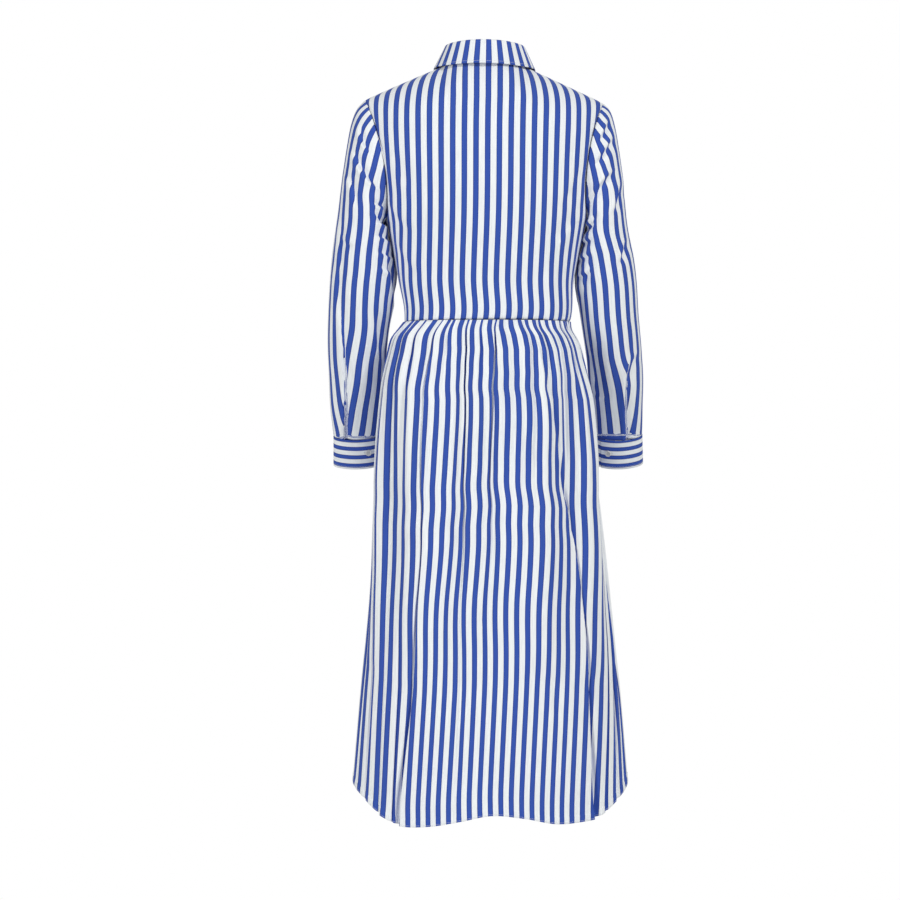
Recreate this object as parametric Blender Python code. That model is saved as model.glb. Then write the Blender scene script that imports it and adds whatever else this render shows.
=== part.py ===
"""Shirt dress in striped cotton, filled out as if worn, hollow and open at neck, cuffs and hem.

Frame: metres, +Z up, the wearer faces -Y and the wearer's left is +X. The origin is the middle of
the neck's base, level with the inner ends of the shoulder seams, where the wearer holds the dress up.
Every cloth piece is a thin closed wall made from a grid of outer points and the same grid moved in.
"""

import math
from collections import namedtuple

import bmesh
import bpy
import numpy as np

# Cloth
CLOTH = 0.0012
STIFF_CLOTH = 0.0016
SEAM_GAP = 0.0003

# Neck and shoulders
NECK_HALF_WIDTH = 0.066
NECK_BACK_DEPTH = 0.056
NECK_FRONT_DEPTH = 0.062
NECK_SIDE_Z = 0.009
NECK_BACK_RISE = 0.003
NECK_FRONT_DROP = 0.066
NECK_STEPS = 9
SHOULDER_STEPS = 4
SHOULDER_HALF_WIDTH = 0.1905
SHOULDER_Z = -0.048
SHOULDER_ROUNDING = 0.070

# Armholes and bodice; each row is an arch across the body, an ellipse but squarer, that goes from
# flat at the shoulders to full over the stretch of the panel from ARCH_START to ARCH_END
ARCH_SQUARENESS = 2.4
ARCH_POWER_TOP = 1.3
ARCH_POWER_LOW = 2.4
ARCH_START = 0.30
ARCH_END = 0.65
UNDERARM_HALF_WIDTH = 0.160
UNDERARM_Z = -0.245
ARMHOLE_HALF_DEPTH = 0.056
SHOULDER_EDGE_DEPTH = 0.85 * ARMHOLE_HALF_DEPTH
ARMHOLE_HOLLOW = 0.014
ARMHOLE_SHARE = 0.62
WAIST_Z = -0.400
ARMHOLE_STEPS = 9
SIDE_SEAM_STEPS = 4

# Front closing: the band lies on both fronts, and the left front runs on beneath it
BAND_HALF_WIDTH = 0.0155
BAND_TOP_SHARE = 0.08
UNDERLAP = 0.0130

# Skirt
SKIRT_BACK_CLOTH = 0.600
SKIRT_FRONT_CLOTH = 0.620
SKIRT_FINE_STEPS = 800
SKIRT_BACK_COLUMNS = 81
SKIRT_FRONT_COLUMNS = 41
GATHERS_PER_PANEL = 20
SOFT_WAVES_PER_PANEL = 5
FLAT_BY_BAND = 0.022
FLAT_FADE = 0.010
STEEPEST = 1.30

# Collar
STAND_HEIGHT_BACK = 0.0270
STAND_HEIGHT_SIDE = 0.0268
STAND_LEAN = 0.0065
COLLAR_ROLL = 0.0034
COLLAR_RISE = 0.0018
COLLAR_STEP = 0.5 * math.pi / NECK_STEPS
STAND_STEPS = 2 * NECK_STEPS + 1
FALL_STEPS = 2 * NECK_STEPS - 1
FALL_CLEARANCE = 0.0028

# Cuffs
CUFF_HEIGHT = 0.049
CUFF_EASE = 0.0004
CUFF_COLUMNS = 27
CUFF_END_ANGLE = math.radians(136.0)
CUFF_LAP_ANGLE = math.radians(36.0)
CUFF_LAP_EASE = 0.9
CUFF_BUTTON_ANGLE = math.radians(116.0)

# Buttons
BUTTON_RADIUS = 0.0052
BUTTON_THICKNESS = 0.0022
BUTTON_SIDES = 12
SEAT_STEP = 0.004
FRONT_LINE_POINTS = 60
THROAT_BUTTON_HEIGHTS = (0.4, 0.6)
CUFF_BUTTON_DOWN = 0.45
BODICE_BUTTON_Z = (-0.088, -0.160, -0.232, -0.304, -0.376)
SKIRT_BUTTON_Z = (-0.452, -0.542, -0.632, -0.722, -0.812, -0.902)

TorsoSection = namedtuple("TorsoSection", "z back front")
TORSO = (
    TorsoSection(-0.400, 0.078, 0.112),
    TorsoSection(-0.350, 0.082, 0.117),
    TorsoSection(-0.300, 0.090, 0.125),
    TorsoSection(-0.245, 0.099, 0.128),
    TorsoSection(-0.200, 0.104, 0.122),
    TorsoSection(-0.150, 0.104, 0.106),
    TorsoSection(-0.100, 0.098, 0.084),
    TorsoSection(-0.058, 0.087, 0.062),
    TorsoSection(-0.030, 0.076, 0.056),
    TorsoSection(0.005, 0.056, 0.050),
)

SideSeam = namedtuple("SideSeam", "z half_width")
SIDE_SEAM = (
    SideSeam(-0.400, 0.1325),
    SideSeam(-0.365, 0.1360),
    SideSeam(-0.333, 0.1405),
    SideSeam(-0.300, 0.1475),
    SideSeam(-0.270, 0.1540),
    SideSeam(-0.245, 0.1600),
)

# How far the whole dress hangs to its left at each height, and how much its left shoulder is raised
Sway = namedtuple("Sway", "z shift")
SWAY = (
    Sway(-1.210, -0.0050),
    Sway(-0.900, -0.0045),
    Sway(-0.800, -0.0027),
    Sway(-0.720, 0.0008),
    Sway(-0.650, 0.0030),
    Sway(-0.550, 0.0012),
    Sway(-0.450, 0.0035),
    Sway(-0.415, 0.0036),
    Sway(-0.400, -0.0002),
    Sway(-0.333, 0.0015),
    Sway(-0.245, 0.0012),
    Sway(-0.050, 0.0045),
    Sway(0.060, 0.0028),
)
SHOULDER_TILT = 0.016

# The fall's flare from straight down, its direction round the neck and its depth, by the angle
# round the neck in degrees
FallSection = namedtuple("FallSection", "angle flare heading depth")
FALL = (
    FallSection(0.0, 16.0, 0.0, 0.0385),
    FallSection(45.0, 19.0, 45.0, 0.0385),
    FallSection(90.0, 26.0, 90.0, 0.0380),
    FallSection(130.0, 35.0, 111.0, 0.0460),
    FallSection(170.0, 29.0, 130.0, 0.0680),
)

# Skirt sections: share of the way from waist to hem, half width, and depth behind and in front
SkirtSection = namedtuple("SkirtSection", "down half_width back front")
SKIRT = (
    SkirtSection(0.000, 0.1335, 0.0785, 0.1125),
    SkirtSection(0.014, 0.1360, 0.0830, 0.1170),
    SkirtSection(0.040, 0.1475, 0.0900, 0.1240),
    SkirtSection(0.080, 0.1550, 0.0960, 0.1300),
    SkirtSection(0.160, 0.1640, 0.1020, 0.1350),
    SkirtSection(0.280, 0.1732, 0.1060, 0.1390),
    SkirtSection(0.420, 0.1815, 0.1100, 0.1420),
    SkirtSection(0.600, 0.1920, 0.1160, 0.1460),
    SkirtSection(0.800, 0.2075, 0.1220, 0.1500),
    SkirtSection(1.000, 0.2200, 0.1280, 0.1540),
)
SKIRT_SQUARENESS = 2.25

# Hem height against the share of the way from the centre to the side seams, + to the left
Hem = namedtuple("Hem", "across z")
HEM = (
    Hem(-1.00, -1.130),
    Hem(-0.83, -1.155),
    Hem(-0.68, -1.178),
    Hem(-0.50, -1.186),
    Hem(-0.36, -1.187),
    Hem(-0.18, -1.177),
    Hem(0.00, -1.172),
    Hem(0.17, -1.182),
    Hem(0.34, -1.191),
    Hem(0.52, -1.192),
    Hem(0.68, -1.178),
    Hem(0.84, -1.151),
    Hem(1.00, -1.130),
)

# Large folds: place of the valley across the panel (metres of cloth from its centre, + to the left)
# at the waist, a third down and at the hem, cloth taken up by one side, and steepness at the three
Fold = namedtuple("Fold", "waist middle hem half_cloth steep_waist steep_middle steep_hem")
BACK_FOLDS = (
    Fold(0.272, 0.274, 0.276, 0.022, 1.3, 1.1, 0.6),
    Fold(0.214, 0.220, 0.226, 0.022, 1.3, 1.2, 0.6),
    Fold(0.150, 0.166, 0.166, 0.015, 1.3, 1.2, 0.5),
    Fold(0.108, 0.108, 0.108, 0.010, 1.0, 0.1, 0.1),
    Fold(0.074, 0.074, 0.074, 0.012, 1.3, 0.5, 0.2),
    Fold(0.032, 0.032, 0.032, 0.009, 0.9, 0.1, 0.1),
    Fold(0.000, 0.000, 0.000, 0.012, 1.3, 0.4, 0.2),
    Fold(-0.046, -0.046, -0.046, 0.009, 0.8, 0.1, 0.1),
    Fold(-0.080, -0.160, -0.204, 0.018, 1.3, 1.3, 0.9),
    Fold(-0.132, -0.112, -0.110, 0.012, 1.2, 0.0, 0.0),
    Fold(-0.205, -0.222, -0.246, 0.020, 1.3, 1.0, 0.4),
    Fold(-0.266, -0.272, -0.278, 0.022, 1.3, 1.1, 0.6),
)
FRONT_FOLDS = (
    Fold(0.052, 0.056, 0.060, 0.013, 1.2, 0.8, 0.4),
    Fold(0.092, 0.108, 0.118, 0.015, 1.3, 1.1, 0.7),
    Fold(0.140, 0.146, 0.150, 0.012, 1.2, 0.4, 0.2),
    Fold(0.186, 0.196, 0.206, 0.018, 1.3, 1.2, 0.7),
    Fold(0.232, 0.236, 0.240, 0.016, 1.2, 0.7, 0.3),
    Fold(0.280, 0.282, 0.284, 0.020, 1.3, 1.1, 0.6),
)
FRONT_MIRROR_SCALE = 0.95

# How strongly the small gathers and the soft waves show down the skirt, and how far a row may
# stand off its section: next to none where the seam holds it
Ripple = namedtuple("Ripple", "down gathers waves stand_off")
RIPPLES = (
    Ripple(0.000, 0.90, 0.00, 0.45),
    Ripple(0.020, 0.90, 0.00, 0.95),
    Ripple(0.080, 0.60, 0.10, 1.00),
    Ripple(0.200, 0.25, 0.20, 1.00),
    Ripple(0.450, 0.08, 0.30, 1.00),
    Ripple(1.000, 0.02, 0.40, 1.00),
)

# Sleeve rings from armhole to wrist: the outermost and innermost points, the ring's half depth
# along Y and how far its middle swings forward
SleeveRing = namedtuple("SleeveRing", "outer_x outer_z inner_x inner_z half_depth forward")
SLEEVE_LEFT = (
    SleeveRing(0.2085, -0.0610, 0.1625, -0.2490, 0.0590, 0.000),
    SleeveRing(0.2175, -0.0850, 0.1610, -0.2545, 0.0610, 0.000),
    SleeveRing(0.2245, -0.1220, 0.1583, -0.2640, 0.0620, 0.000),
    SleeveRing(0.2305, -0.1620, 0.1548, -0.2780, 0.0610, 0.000),
    SleeveRing(0.2355, -0.2020, 0.1510, -0.2960, 0.0590, 0.001),
    SleeveRing(0.2410, -0.2440, 0.1465, -0.3180, 0.0570, 0.003),
    SleeveRing(0.2470, -0.2860, 0.1455, -0.3440, 0.0550, 0.008),
    SleeveRing(0.2515, -0.3300, 0.1500, -0.3750, 0.0530, 0.016),
    SleeveRing(0.2550, -0.3800, 0.1570, -0.4100, 0.0510, 0.028),
    SleeveRing(0.2570, -0.4300, 0.1605, -0.4450, 0.0490, 0.042),
    SleeveRing(0.2560, -0.4800, 0.1625, -0.4870, 0.0460, 0.060),
    SleeveRing(0.2550, -0.5270, 0.1650, -0.5260, 0.0415, 0.075),
    SleeveRing(0.2520, -0.5600, 0.1680, -0.5580, 0.0355, 0.085),
    SleeveRing(0.2495, -0.5815, 0.1710, -0.5790, 0.0315, 0.091),
)
SLEEVE_RIGHT = (
    SleeveRing(-0.1970, -0.0630, -0.1600, -0.2490, 0.0590, 0.000),
    SleeveRing(-0.2045, -0.0870, -0.1585, -0.2545, 0.0610, 0.000),
    SleeveRing(-0.2110, -0.1240, -0.1558, -0.2640, 0.0620, 0.000),
    SleeveRing(-0.2165, -0.1640, -0.1522, -0.2780, 0.0610, 0.000),
    SleeveRing(-0.2200, -0.2040, -0.1483, -0.2960, 0.0590, 0.001),
    SleeveRing(-0.2250, -0.2500, -0.1440, -0.3180, 0.0570, 0.003),
    SleeveRing(-0.2345, -0.2940, -0.1425, -0.3440, 0.0550, 0.008),
    SleeveRing(-0.2400, -0.3350, -0.1480, -0.3750, 0.0530, 0.016),
    SleeveRing(-0.2440, -0.3850, -0.1540, -0.4100, 0.0510, 0.028),
    SleeveRing(-0.2500, -0.4350, -0.1600, -0.4450, 0.0490, 0.044),
    SleeveRing(-0.2545, -0.4850, -0.1660, -0.4870, 0.0460, 0.061),
    SleeveRing(-0.2550, -0.5280, -0.1710, -0.5270, 0.0415, 0.077),
    SleeveRing(-0.2555, -0.5590, -0.1740, -0.5590, 0.0355, 0.088),
    SleeveRing(-0.2555, -0.5785, -0.1760, -0.5800, 0.0315, 0.095),
)
SLEEVE_COLUMNS = 2 * ARMHOLE_STEPS

# Finishes
COTTON_BLUE = (0.36, 0.44, 0.70)
BUTTON_WHITE = (0.86, 0.86, 0.84)


def columns_of(table):
    """Give a table's columns as arrays."""
    return [np.array(column) for column in zip(*table)]


def smooth_curve(at, knots, values):
    """Read a smooth curve through (knots, values), knots rising: cubic with averaged slopes."""
    knots = np.asarray(knots, float)
    values = np.asarray(values, float)
    slopes = np.gradient(values, knots)
    at = np.clip(at, knots[0], knots[-1])
    i = np.clip(np.searchsorted(knots, at) - 1, 0, len(knots) - 2)
    step = knots[i + 1] - knots[i]
    f = (at - knots[i]) / step
    rise = f * f * (3.0 - 2.0 * f)
    bend = slopes[i] * f * (1.0 - f) ** 2 - slopes[i + 1] * f * f * (1.0 - f)
    return values[i] * (1.0 - rise) + values[i + 1] * rise + bend * step


def ease(f):
    """Go smoothly from 0 to 1 as f does."""
    f = np.clip(f, 0.0, 1.0)
    return f * f * (3.0 - 2.0 * f)


def posed(points):
    """Shift points by the dress's sway and raise its left shoulder."""
    z, shift = columns_of(SWAY)
    out = points.copy()
    fade = np.clip(1.0 - points[..., 2] / WAIST_Z, 0.0, 1.0)
    out[..., 0] += smooth_curve(points[..., 2], z, shift)
    out[..., 2] += SHOULDER_TILT * points[..., 0] * fade
    return out


def unit(vectors):
    """Scale vectors to length 1."""
    length = np.linalg.norm(vectors, axis=-1, keepdims=True)
    return vectors / np.maximum(length, 1e-12)


def grid_normals(points, closed):
    """Give a grid's normals from its rows and columns, closed ones being joined in a ring."""
    if closed:
        across = np.roll(points, -1, axis=1) - np.roll(points, 1, axis=1)
    else:
        across = np.gradient(points, axis=1)
    down = np.gradient(points, axis=0)
    return unit(np.cross(across, down))


def moved_in(points, thickness, inward, closed=False, level_rows=(), flat_x=()):
    """Move a grid in by a thickness; inward is a point array that shows which side is in.

    Points of level_rows move level, and those in flat_x, an index of the grid, move across X.
    """
    normals = grid_normals(points, closed)
    for row in level_rows:
        normals[row, :, 2] = 0.0
    if flat_x:
        normals[flat_x + (0,)] = 0.0
    normals = unit(normals)
    facing = np.sum(normals * (inward - points), axis=-1, keepdims=True)
    return points + np.where(facing >= 0.0, normals, -normals) * thickness


def make_object(name, vertices, faces, colour, roughness):
    """Make one named object with its own material from vertices and faces."""
    mesh = bpy.data.meshes.new(name)
    mesh.from_pydata([tuple(v) for v in vertices], [], faces)
    work = bmesh.new()
    work.from_mesh(mesh)
    bmesh.ops.recalc_face_normals(work, faces=work.faces)
    work.to_mesh(mesh)
    work.free()
    mesh.shade_smooth()
    material = bpy.data.materials.new(name + "_finish")
    material.use_nodes = True
    shader = material.node_tree.nodes["Principled BSDF"]
    shader.inputs["Base Color"].default_value = (*colour, 1.0)
    shader.inputs["Roughness"].default_value = roughness
    shader.inputs["Metallic"].default_value = 0.0
    mesh.materials.append(material)
    thing = bpy.data.objects.new(name, mesh)
    bpy.context.scene.collection.objects.link(thing)
    return thing


def wall(name, outer, inner, closed=False):
    """Close a wall between an outer and an inner grid; closed grids are rings.

    Both sides are split along the same diagonals, the shorter ones, so that they never meet.
    """
    rows, columns = outer.shape[:2]
    count = rows * columns
    vertices = np.concatenate([outer.reshape(-1, 3), inner.reshape(-1, 3)])
    spans = columns if closed else columns - 1

    def at(row, column):
        return row * columns + column % columns

    def apart(first, second):
        return np.linalg.norm(vertices[first] + vertices[count + first]
                              - vertices[second] - vertices[count + second])

    faces = []
    for row in range(rows - 1):
        for column in range(spans):
            a, b = at(row, column), at(row, column + 1)
            c, d = at(row + 1, column + 1), at(row + 1, column)
            halves = ((a, b, c), (a, c, d))
            if apart(b, d) < apart(a, c):
                halves = ((a, b, d), (b, c, d))
            for half in halves:
                faces.append(half)
                faces.append(tuple(count + corner for corner in reversed(half)))
    for row in (0, rows - 1):
        for column in range(spans):
            a, b = at(row, column), at(row, column + 1)
            faces.append((a, count + a, count + b, b))
    if not closed:
        for column in (0, columns - 1):
            for row in range(rows - 1):
                a, b = at(row, column), at(row + 1, column)
                faces.append((a, b, count + b, count + a))
    return make_object(name, vertices, faces, COTTON_BLUE, 0.85)


# ---------------------------------------------------------------- bodice


def armhole(side, angle, facing):
    """Give armhole points; angle 0 is the shoulder tip, pi the underarm; facing +1 is the back."""
    angle = np.asarray(angle, float)
    middle_x = 0.5 * (SHOULDER_HALF_WIDTH + UNDERARM_HALF_WIDTH)
    half_x = 0.5 * (SHOULDER_HALF_WIDTH - UNDERARM_HALF_WIDTH)
    middle_z = 0.5 * (SHOULDER_Z + UNDERARM_Z)
    half_z = 0.5 * (SHOULDER_Z - UNDERARM_Z)
    x = middle_x + half_x * np.cos(angle) - ARMHOLE_HOLLOW * np.sin(angle) ** 2
    y = facing * ARMHOLE_HALF_DEPTH * np.sin(angle)
    z = middle_z + half_z * np.cos(angle)
    return np.stack([side * x, y, z], axis=-1)


def bodice_edge(down, facing):
    """Give the half panel's outer edge (on +X): down the armhole, then down the side seam."""
    down = np.asarray(down, float)
    on_arm = armhole(1.0, math.pi * np.clip(down / ARMHOLE_SHARE, 0.0, 1.0), facing)
    z, half_width = columns_of(SIDE_SEAM)
    seam_z = UNDERARM_Z + (WAIST_Z - UNDERARM_Z) * (down - ARMHOLE_SHARE) / (1.0 - ARMHOLE_SHARE)
    on_seam = np.stack([smooth_curve(seam_z, z, half_width), 0.0 * seam_z, seam_z], axis=-1)
    return np.where((down <= ARMHOLE_SHARE)[..., None], on_arm, on_seam)


def bodice_top(x, facing):
    """Give the depth and height of the shoulder seam and neckline above a place x on +X."""
    share = np.clip(1.0 - (x / NECK_HALF_WIDTH) ** 2, 0.0, 1.0)
    slope = (x - NECK_HALF_WIDTH) / (SHOULDER_HALF_WIDTH - NECK_HALF_WIDTH)
    shoulder_z = NECK_SIDE_Z + (SHOULDER_Z - NECK_SIDE_Z) * np.clip(slope, 0.0, 1.0)
    depth = NECK_BACK_DEPTH if facing > 0 else NECK_FRONT_DEPTH
    drop = -NECK_BACK_RISE if facing > 0 else NECK_FRONT_DROP
    return depth * np.sqrt(share), shoulder_z - drop * share


def quarter_turn(f):
    """Go from 0 to 1 as a quarter round does, level at the end."""
    return np.sqrt(1.0 - (1.0 - np.clip(f, 0.0, 1.0)) ** 2)


def arch_depth(share, z, edge_y, power, facing):
    """Give the depth of the body's arch at a share 0..1 from the centre line to the edge."""
    table_z, back, front = columns_of(TORSO)
    centre_y = smooth_curve(z, table_z, back if facing > 0 else front)
    arch = np.clip(1.0 - share ** ARCH_SQUARENESS, 0.0, 1.0) ** (1.0 / power)
    return edge_y + (centre_y - edge_y) * arch


def bodice_points(across, down, facing):
    """Give bodice points; across is -1..1 from edge to edge, down 0..1, facing +1 is the back.

    Each row swells from its edge to the centre line as a rounded arch, and below the shoulder
    ridge, which runs on through the neck, the panel turns into the full arch over a quarter round.
    """
    across, down = np.broadcast_arrays(np.asarray(across, float), np.asarray(down, float))
    side = np.where(across < 0.0, -1.0, 1.0)
    share = np.abs(across)
    edge = bodice_edge(down, facing)
    rounding = ease((down - ARCH_START) / (ARCH_END - ARCH_START))
    share_x = (1.0 - rounding) * share + rounding * np.sin(share * math.pi / 2.0)
    x = edge[..., 0] * share_x

    top_y, top_z = bodice_top(share * SHOULDER_HALF_WIDTH, facing)
    edge_down = (SHOULDER_Z - edge[..., 2]) / (SHOULDER_Z - WAIST_Z)
    row_down = down + (edge_down - down) * share ** 2
    z = top_z + (WAIST_Z - top_z) * row_down

    power = ARCH_POWER_TOP + (ARCH_POWER_LOW - ARCH_POWER_TOP) * rounding
    edge_turn = quarter_turn((SHOULDER_Z - edge[..., 2]) / SHOULDER_ROUNDING)
    edge_y = np.abs(edge[..., 1]) / np.maximum(edge_turn, 1e-3)
    edge_y = np.where(edge_turn > 1e-3, edge_y, SHOULDER_EDGE_DEPTH)
    full_y = arch_depth(share_x, z, edge_y, power, facing)
    top_full_y = arch_depth(share, top_z, SHOULDER_EDGE_DEPTH, ARCH_POWER_TOP, facing)
    start = 1.0 - np.sqrt(1.0 - np.clip(top_y / top_full_y, 0.0, 1.0) ** 2)
    y = full_y * quarter_turn((top_z - z) / SHOULDER_ROUNDING + start)
    return np.stack([side * x, facing * y, z], axis=-1)


def bodice_columns():
    """Give shares 0..1 from the centre to the edge; those in the neck match the collar's."""
    corner = NECK_HALF_WIDTH / SHOULDER_HALF_WIDTH
    in_neck = corner * np.sin(np.linspace(0.0, 0.5 * math.pi, NECK_STEPS + 1))
    on_shoulder = np.linspace(corner, 1.0, SHOULDER_STEPS + 1)[1:]
    return np.concatenate([in_neck, on_shoulder])


def share_near_centre(x, down):
    """Give the share across that lies a small distance from the centre line, row by row."""
    rounding = ease((down - ARCH_START) / (ARCH_END - ARCH_START))
    return x / (bodice_edge(down, -1.0)[..., 0] * (1.0 + rounding * (0.5 * math.pi - 1.0)))


def pulled_back(points, facing):
    """Leave half a seam's gap at the shoulder seam, the armholes and the side seams."""
    out = points.copy()
    out[0, :, 2] -= 0.5 * SEAM_GAP
    out[-1, :, 2] = WAIST_Z + 0.5 * SEAM_GAP
    out[..., 1] = facing * np.maximum(facing * out[..., 1], 0.5 * SEAM_GAP)
    return out


def body_axis(points):
    """Give the point of the body's axis beside each point, a little in front of the origin."""
    axis = np.zeros_like(points)
    axis[..., 1] = -0.010
    axis[..., 2] = np.minimum(points[..., 2], -0.10)
    return axis


def bodice_rows():
    """Give the shares down a bodice panel of its rows, in a column: armhole, then side seam."""
    on_arm = np.linspace(0.0, ARMHOLE_SHARE, ARMHOLE_STEPS + 1)
    on_seam = np.linspace(ARMHOLE_SHARE, 1.0, SIDE_SEAM_STEPS + 1)[1:]
    return np.concatenate([on_arm, on_seam])[:, None]


def bodice_panel(name, across, facing):
    """Make one bodice panel from its shares across (rows by columns or one row)."""
    flat = pulled_back(bodice_points(across, bodice_rows(), facing), facing)
    edges = [column for column in (0, -1) if np.abs(np.ravel(across[..., column])[0]) > 0.99]
    on_arm = (slice(0, ARMHOLE_STEPS), edges)
    inner = moved_in(flat, CLOTH, body_axis(flat), level_rows=(-1,), flat_x=on_arm)
    inner[..., 1] = facing * np.maximum(facing * inner[..., 1], 0.5 * SEAM_GAP)
    return wall(name, posed(flat), posed(inner))


def build_bodice():
    """Make the back panel and both fronts; the left front runs on beneath the band."""
    half = bodice_columns()
    bodice_panel("bodice_back", np.concatenate([-half[::-1], half[1:]]), 1.0)
    down = bodice_rows()
    lap = share_near_centre(UNDERLAP, down)
    left = np.concatenate([-lap, np.repeat(half[None, :], len(down), axis=0)], axis=1)
    bodice_panel("bodice_front_left", left, -1.0)
    start = share_near_centre(UNDERLAP + 2.0 * SEAM_GAP, down)
    beyond = half[2:]
    rest = np.repeat(beyond[None, :], len(down), axis=0)
    bodice_panel("bodice_front_right", -np.concatenate([start, rest], axis=1)[:, ::-1], -1.0)


def build_bodice_band():
    """Lay the button band on the fronts, made from their points moved out."""
    down = bodice_rows()
    share = share_near_centre(BAND_HALF_WIDTH, down)
    next_column = np.full_like(share, bodice_columns()[1])
    across = np.concatenate([-share, -next_column, 0.0 * share, next_column, share], axis=1)
    under = pulled_back(bodice_points(across, down, -1.0), -1.0)
    under[0] += BAND_TOP_SHARE * (under[1] - under[0])
    lay_band("placket_bodice", under, body_axis(under))


def lay_band(name, under, inward):
    """Make a band's wall just clear of the points that it lies on."""
    under = posed(under)
    ends = (0, -1)
    outer = moved_in(under, -(CLOTH + SEAM_GAP), inward, level_rows=ends)
    inner = moved_in(under, -SEAM_GAP, inward, level_rows=ends)
    return wall(name, outer, inner)


# ---------------------------------------------------------------- collar


def neck_point(angle):
    """Give neckline points; angle 0 is the centre back, a quarter turn the left shoulder."""
    depth = np.where(np.cos(angle) > 0.0, NECK_BACK_DEPTH, NECK_FRONT_DEPTH)
    rise = np.where(np.cos(angle) > 0.0, NECK_BACK_RISE, -NECK_FRONT_DROP)
    x = NECK_HALF_WIDTH * np.sin(angle)
    y = depth * np.cos(angle)
    z = NECK_SIDE_Z + rise * np.cos(angle) ** 2
    return np.stack([x, y, z], axis=-1)


def outward(angle):
    """Give the level direction out from the neck at an angle round it."""
    return np.stack([np.sin(angle), np.cos(angle), 0.0 * angle], axis=-1)


def stand_height(angle):
    """Give the stand's height: highest at the back, even from the sides to the front."""
    behind = np.clip(np.cos(angle), 0.0, 1.0) ** 2
    return STAND_HEIGHT_SIDE + (STAND_HEIGHT_BACK - STAND_HEIGHT_SIDE) * behind


def stand_point(angle, up):
    """Give points of the stand's outer face, up 0..1 from the neckline; the right end laps over."""
    over = ease((-angle - math.pi + 3.0 * COLLAR_STEP) / (2.0 * COLLAR_STEP))
    lean = over * (STIFF_CLOTH + SEAM_GAP) - STAND_LEAN * up
    point = neck_point(angle) + outward(angle) * lean[..., None]
    point[..., 2] += SEAM_GAP + (stand_height(angle) - SEAM_GAP) * up
    return point


def build_collar_stand():
    """Make the stand, a low wall round the neck whose ends lap at the throat."""
    turn = np.arange(-STAND_STEPS, STAND_STEPS + 1) * COLLAR_STEP
    angle, up = np.meshgrid(turn, np.linspace(0.0, 1.0, 3))
    outer = stand_point(angle, up)
    inner = outer - outward(angle) * STIFF_CLOTH
    wall("collar_stand", posed(outer), posed(inner))


def clear_of(points, surface, inward, clearance, facing):
    """Move points on a surface's side out along its normals until each is clear of it."""
    normals = grid_normals(surface, False)
    turned_in = np.sum(normals * (inward - surface), axis=-1, keepdims=True) > 0.0
    normals = np.where(turned_in, -normals, normals).reshape(-1, 3)
    surface = surface.reshape(-1, 3)
    out = points.reshape(-1, 3).copy()
    for place in np.flatnonzero(facing * out[:, 1] > 0.0):
        nearest = np.argmin(np.sum((surface - out[place]) ** 2, axis=1))
        height = np.dot(out[place] - surface[nearest], normals[nearest])
        out[place] += normals[nearest] * max(0.0, clearance - height)
    return out.reshape(points.shape)


def build_collar_fall():
    """Make the fall: up from the stand, over a small roll and down to its points."""
    section = columns_of(FALL)
    angle = np.arange(-FALL_STEPS, FALL_STEPS + 1) * COLLAR_STEP
    turn = np.degrees(np.abs(angle))
    flare = np.radians(smooth_curve(turn, section[0], section[1]))
    heading = np.radians(smooth_curve(turn, section[0], section[2])) * np.sign(angle)
    depth = smooth_curve(turn, section[0], section[3])
    base = stand_point(angle, np.ones_like(angle))
    out = outward(angle)
    up = np.array([0.0, 0.0, 1.0])
    roll_centre = base + out * (COLLAR_ROLL - STIFF_CLOTH) + up * COLLAR_RISE
    rows = [base - out * STIFF_CLOTH + up * SEAM_GAP]
    for share in (0.0, 0.3, 0.6, 1.0):
        polar = math.pi + (flare - math.pi) * share
        arm = out * np.cos(polar)[:, None] + up * np.sin(polar)[:, None]
        rows.append(roll_centre + arm * COLLAR_ROLL)
    leaf = outward(heading) * np.sin(flare)[:, None] - up * np.cos(flare)[:, None]
    for share in (0.33, 0.67, 1.0):
        rows.append(rows[4] + leaf * (depth * share)[:, None])
    outer = np.array(rows)
    inward = np.broadcast_to(roll_centre, outer.shape)
    for facing in (1.0, -1.0):
        fine = np.meshgrid(np.linspace(-0.8, 0.8, 161), np.linspace(0.0, 0.4, 81))
        chest = bodice_points(fine[0], fine[1], facing)
        outer[5:] = clear_of(outer[5:], chest, body_axis(chest), FALL_CLEARANCE, facing)
    inner = moved_in(outer, CLOTH, inward)
    inner[0, :, 2] = outer[0, :, 2]
    wall("collar_fall", posed(outer), posed(inner))


# ---------------------------------------------------------------- skirt


def skirt_base(down, facing, steps):
    """Give a section's points, arc lengths and outward directions from right to left seam."""
    section_down, half_width, back, front = columns_of(SKIRT)
    a = float(smooth_curve(down, section_down, half_width))
    b = float(smooth_curve(down, section_down, back if facing > 0 else front))
    turn = np.linspace(math.pi, 0.0, steps)
    power = 2.0 / SKIRT_SQUARENESS
    x = a * np.sign(np.cos(turn)) * np.abs(np.cos(turn)) ** power
    y = facing * b * np.abs(np.sin(turn)) ** power
    arc = np.concatenate([[0.0], np.cumsum(np.hypot(np.diff(x), np.diff(y)))])
    even = np.linspace(0.0, arc[-1], steps)
    x, y = np.interp(even, arc, x), np.interp(even, arc, y)
    ahead = unit(np.stack([np.gradient(x), np.gradient(y)], axis=-1))
    out = np.stack([ahead[:, 1], -ahead[:, 0]], axis=-1) * -facing
    return even, np.stack([x, y], axis=-1), out


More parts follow.
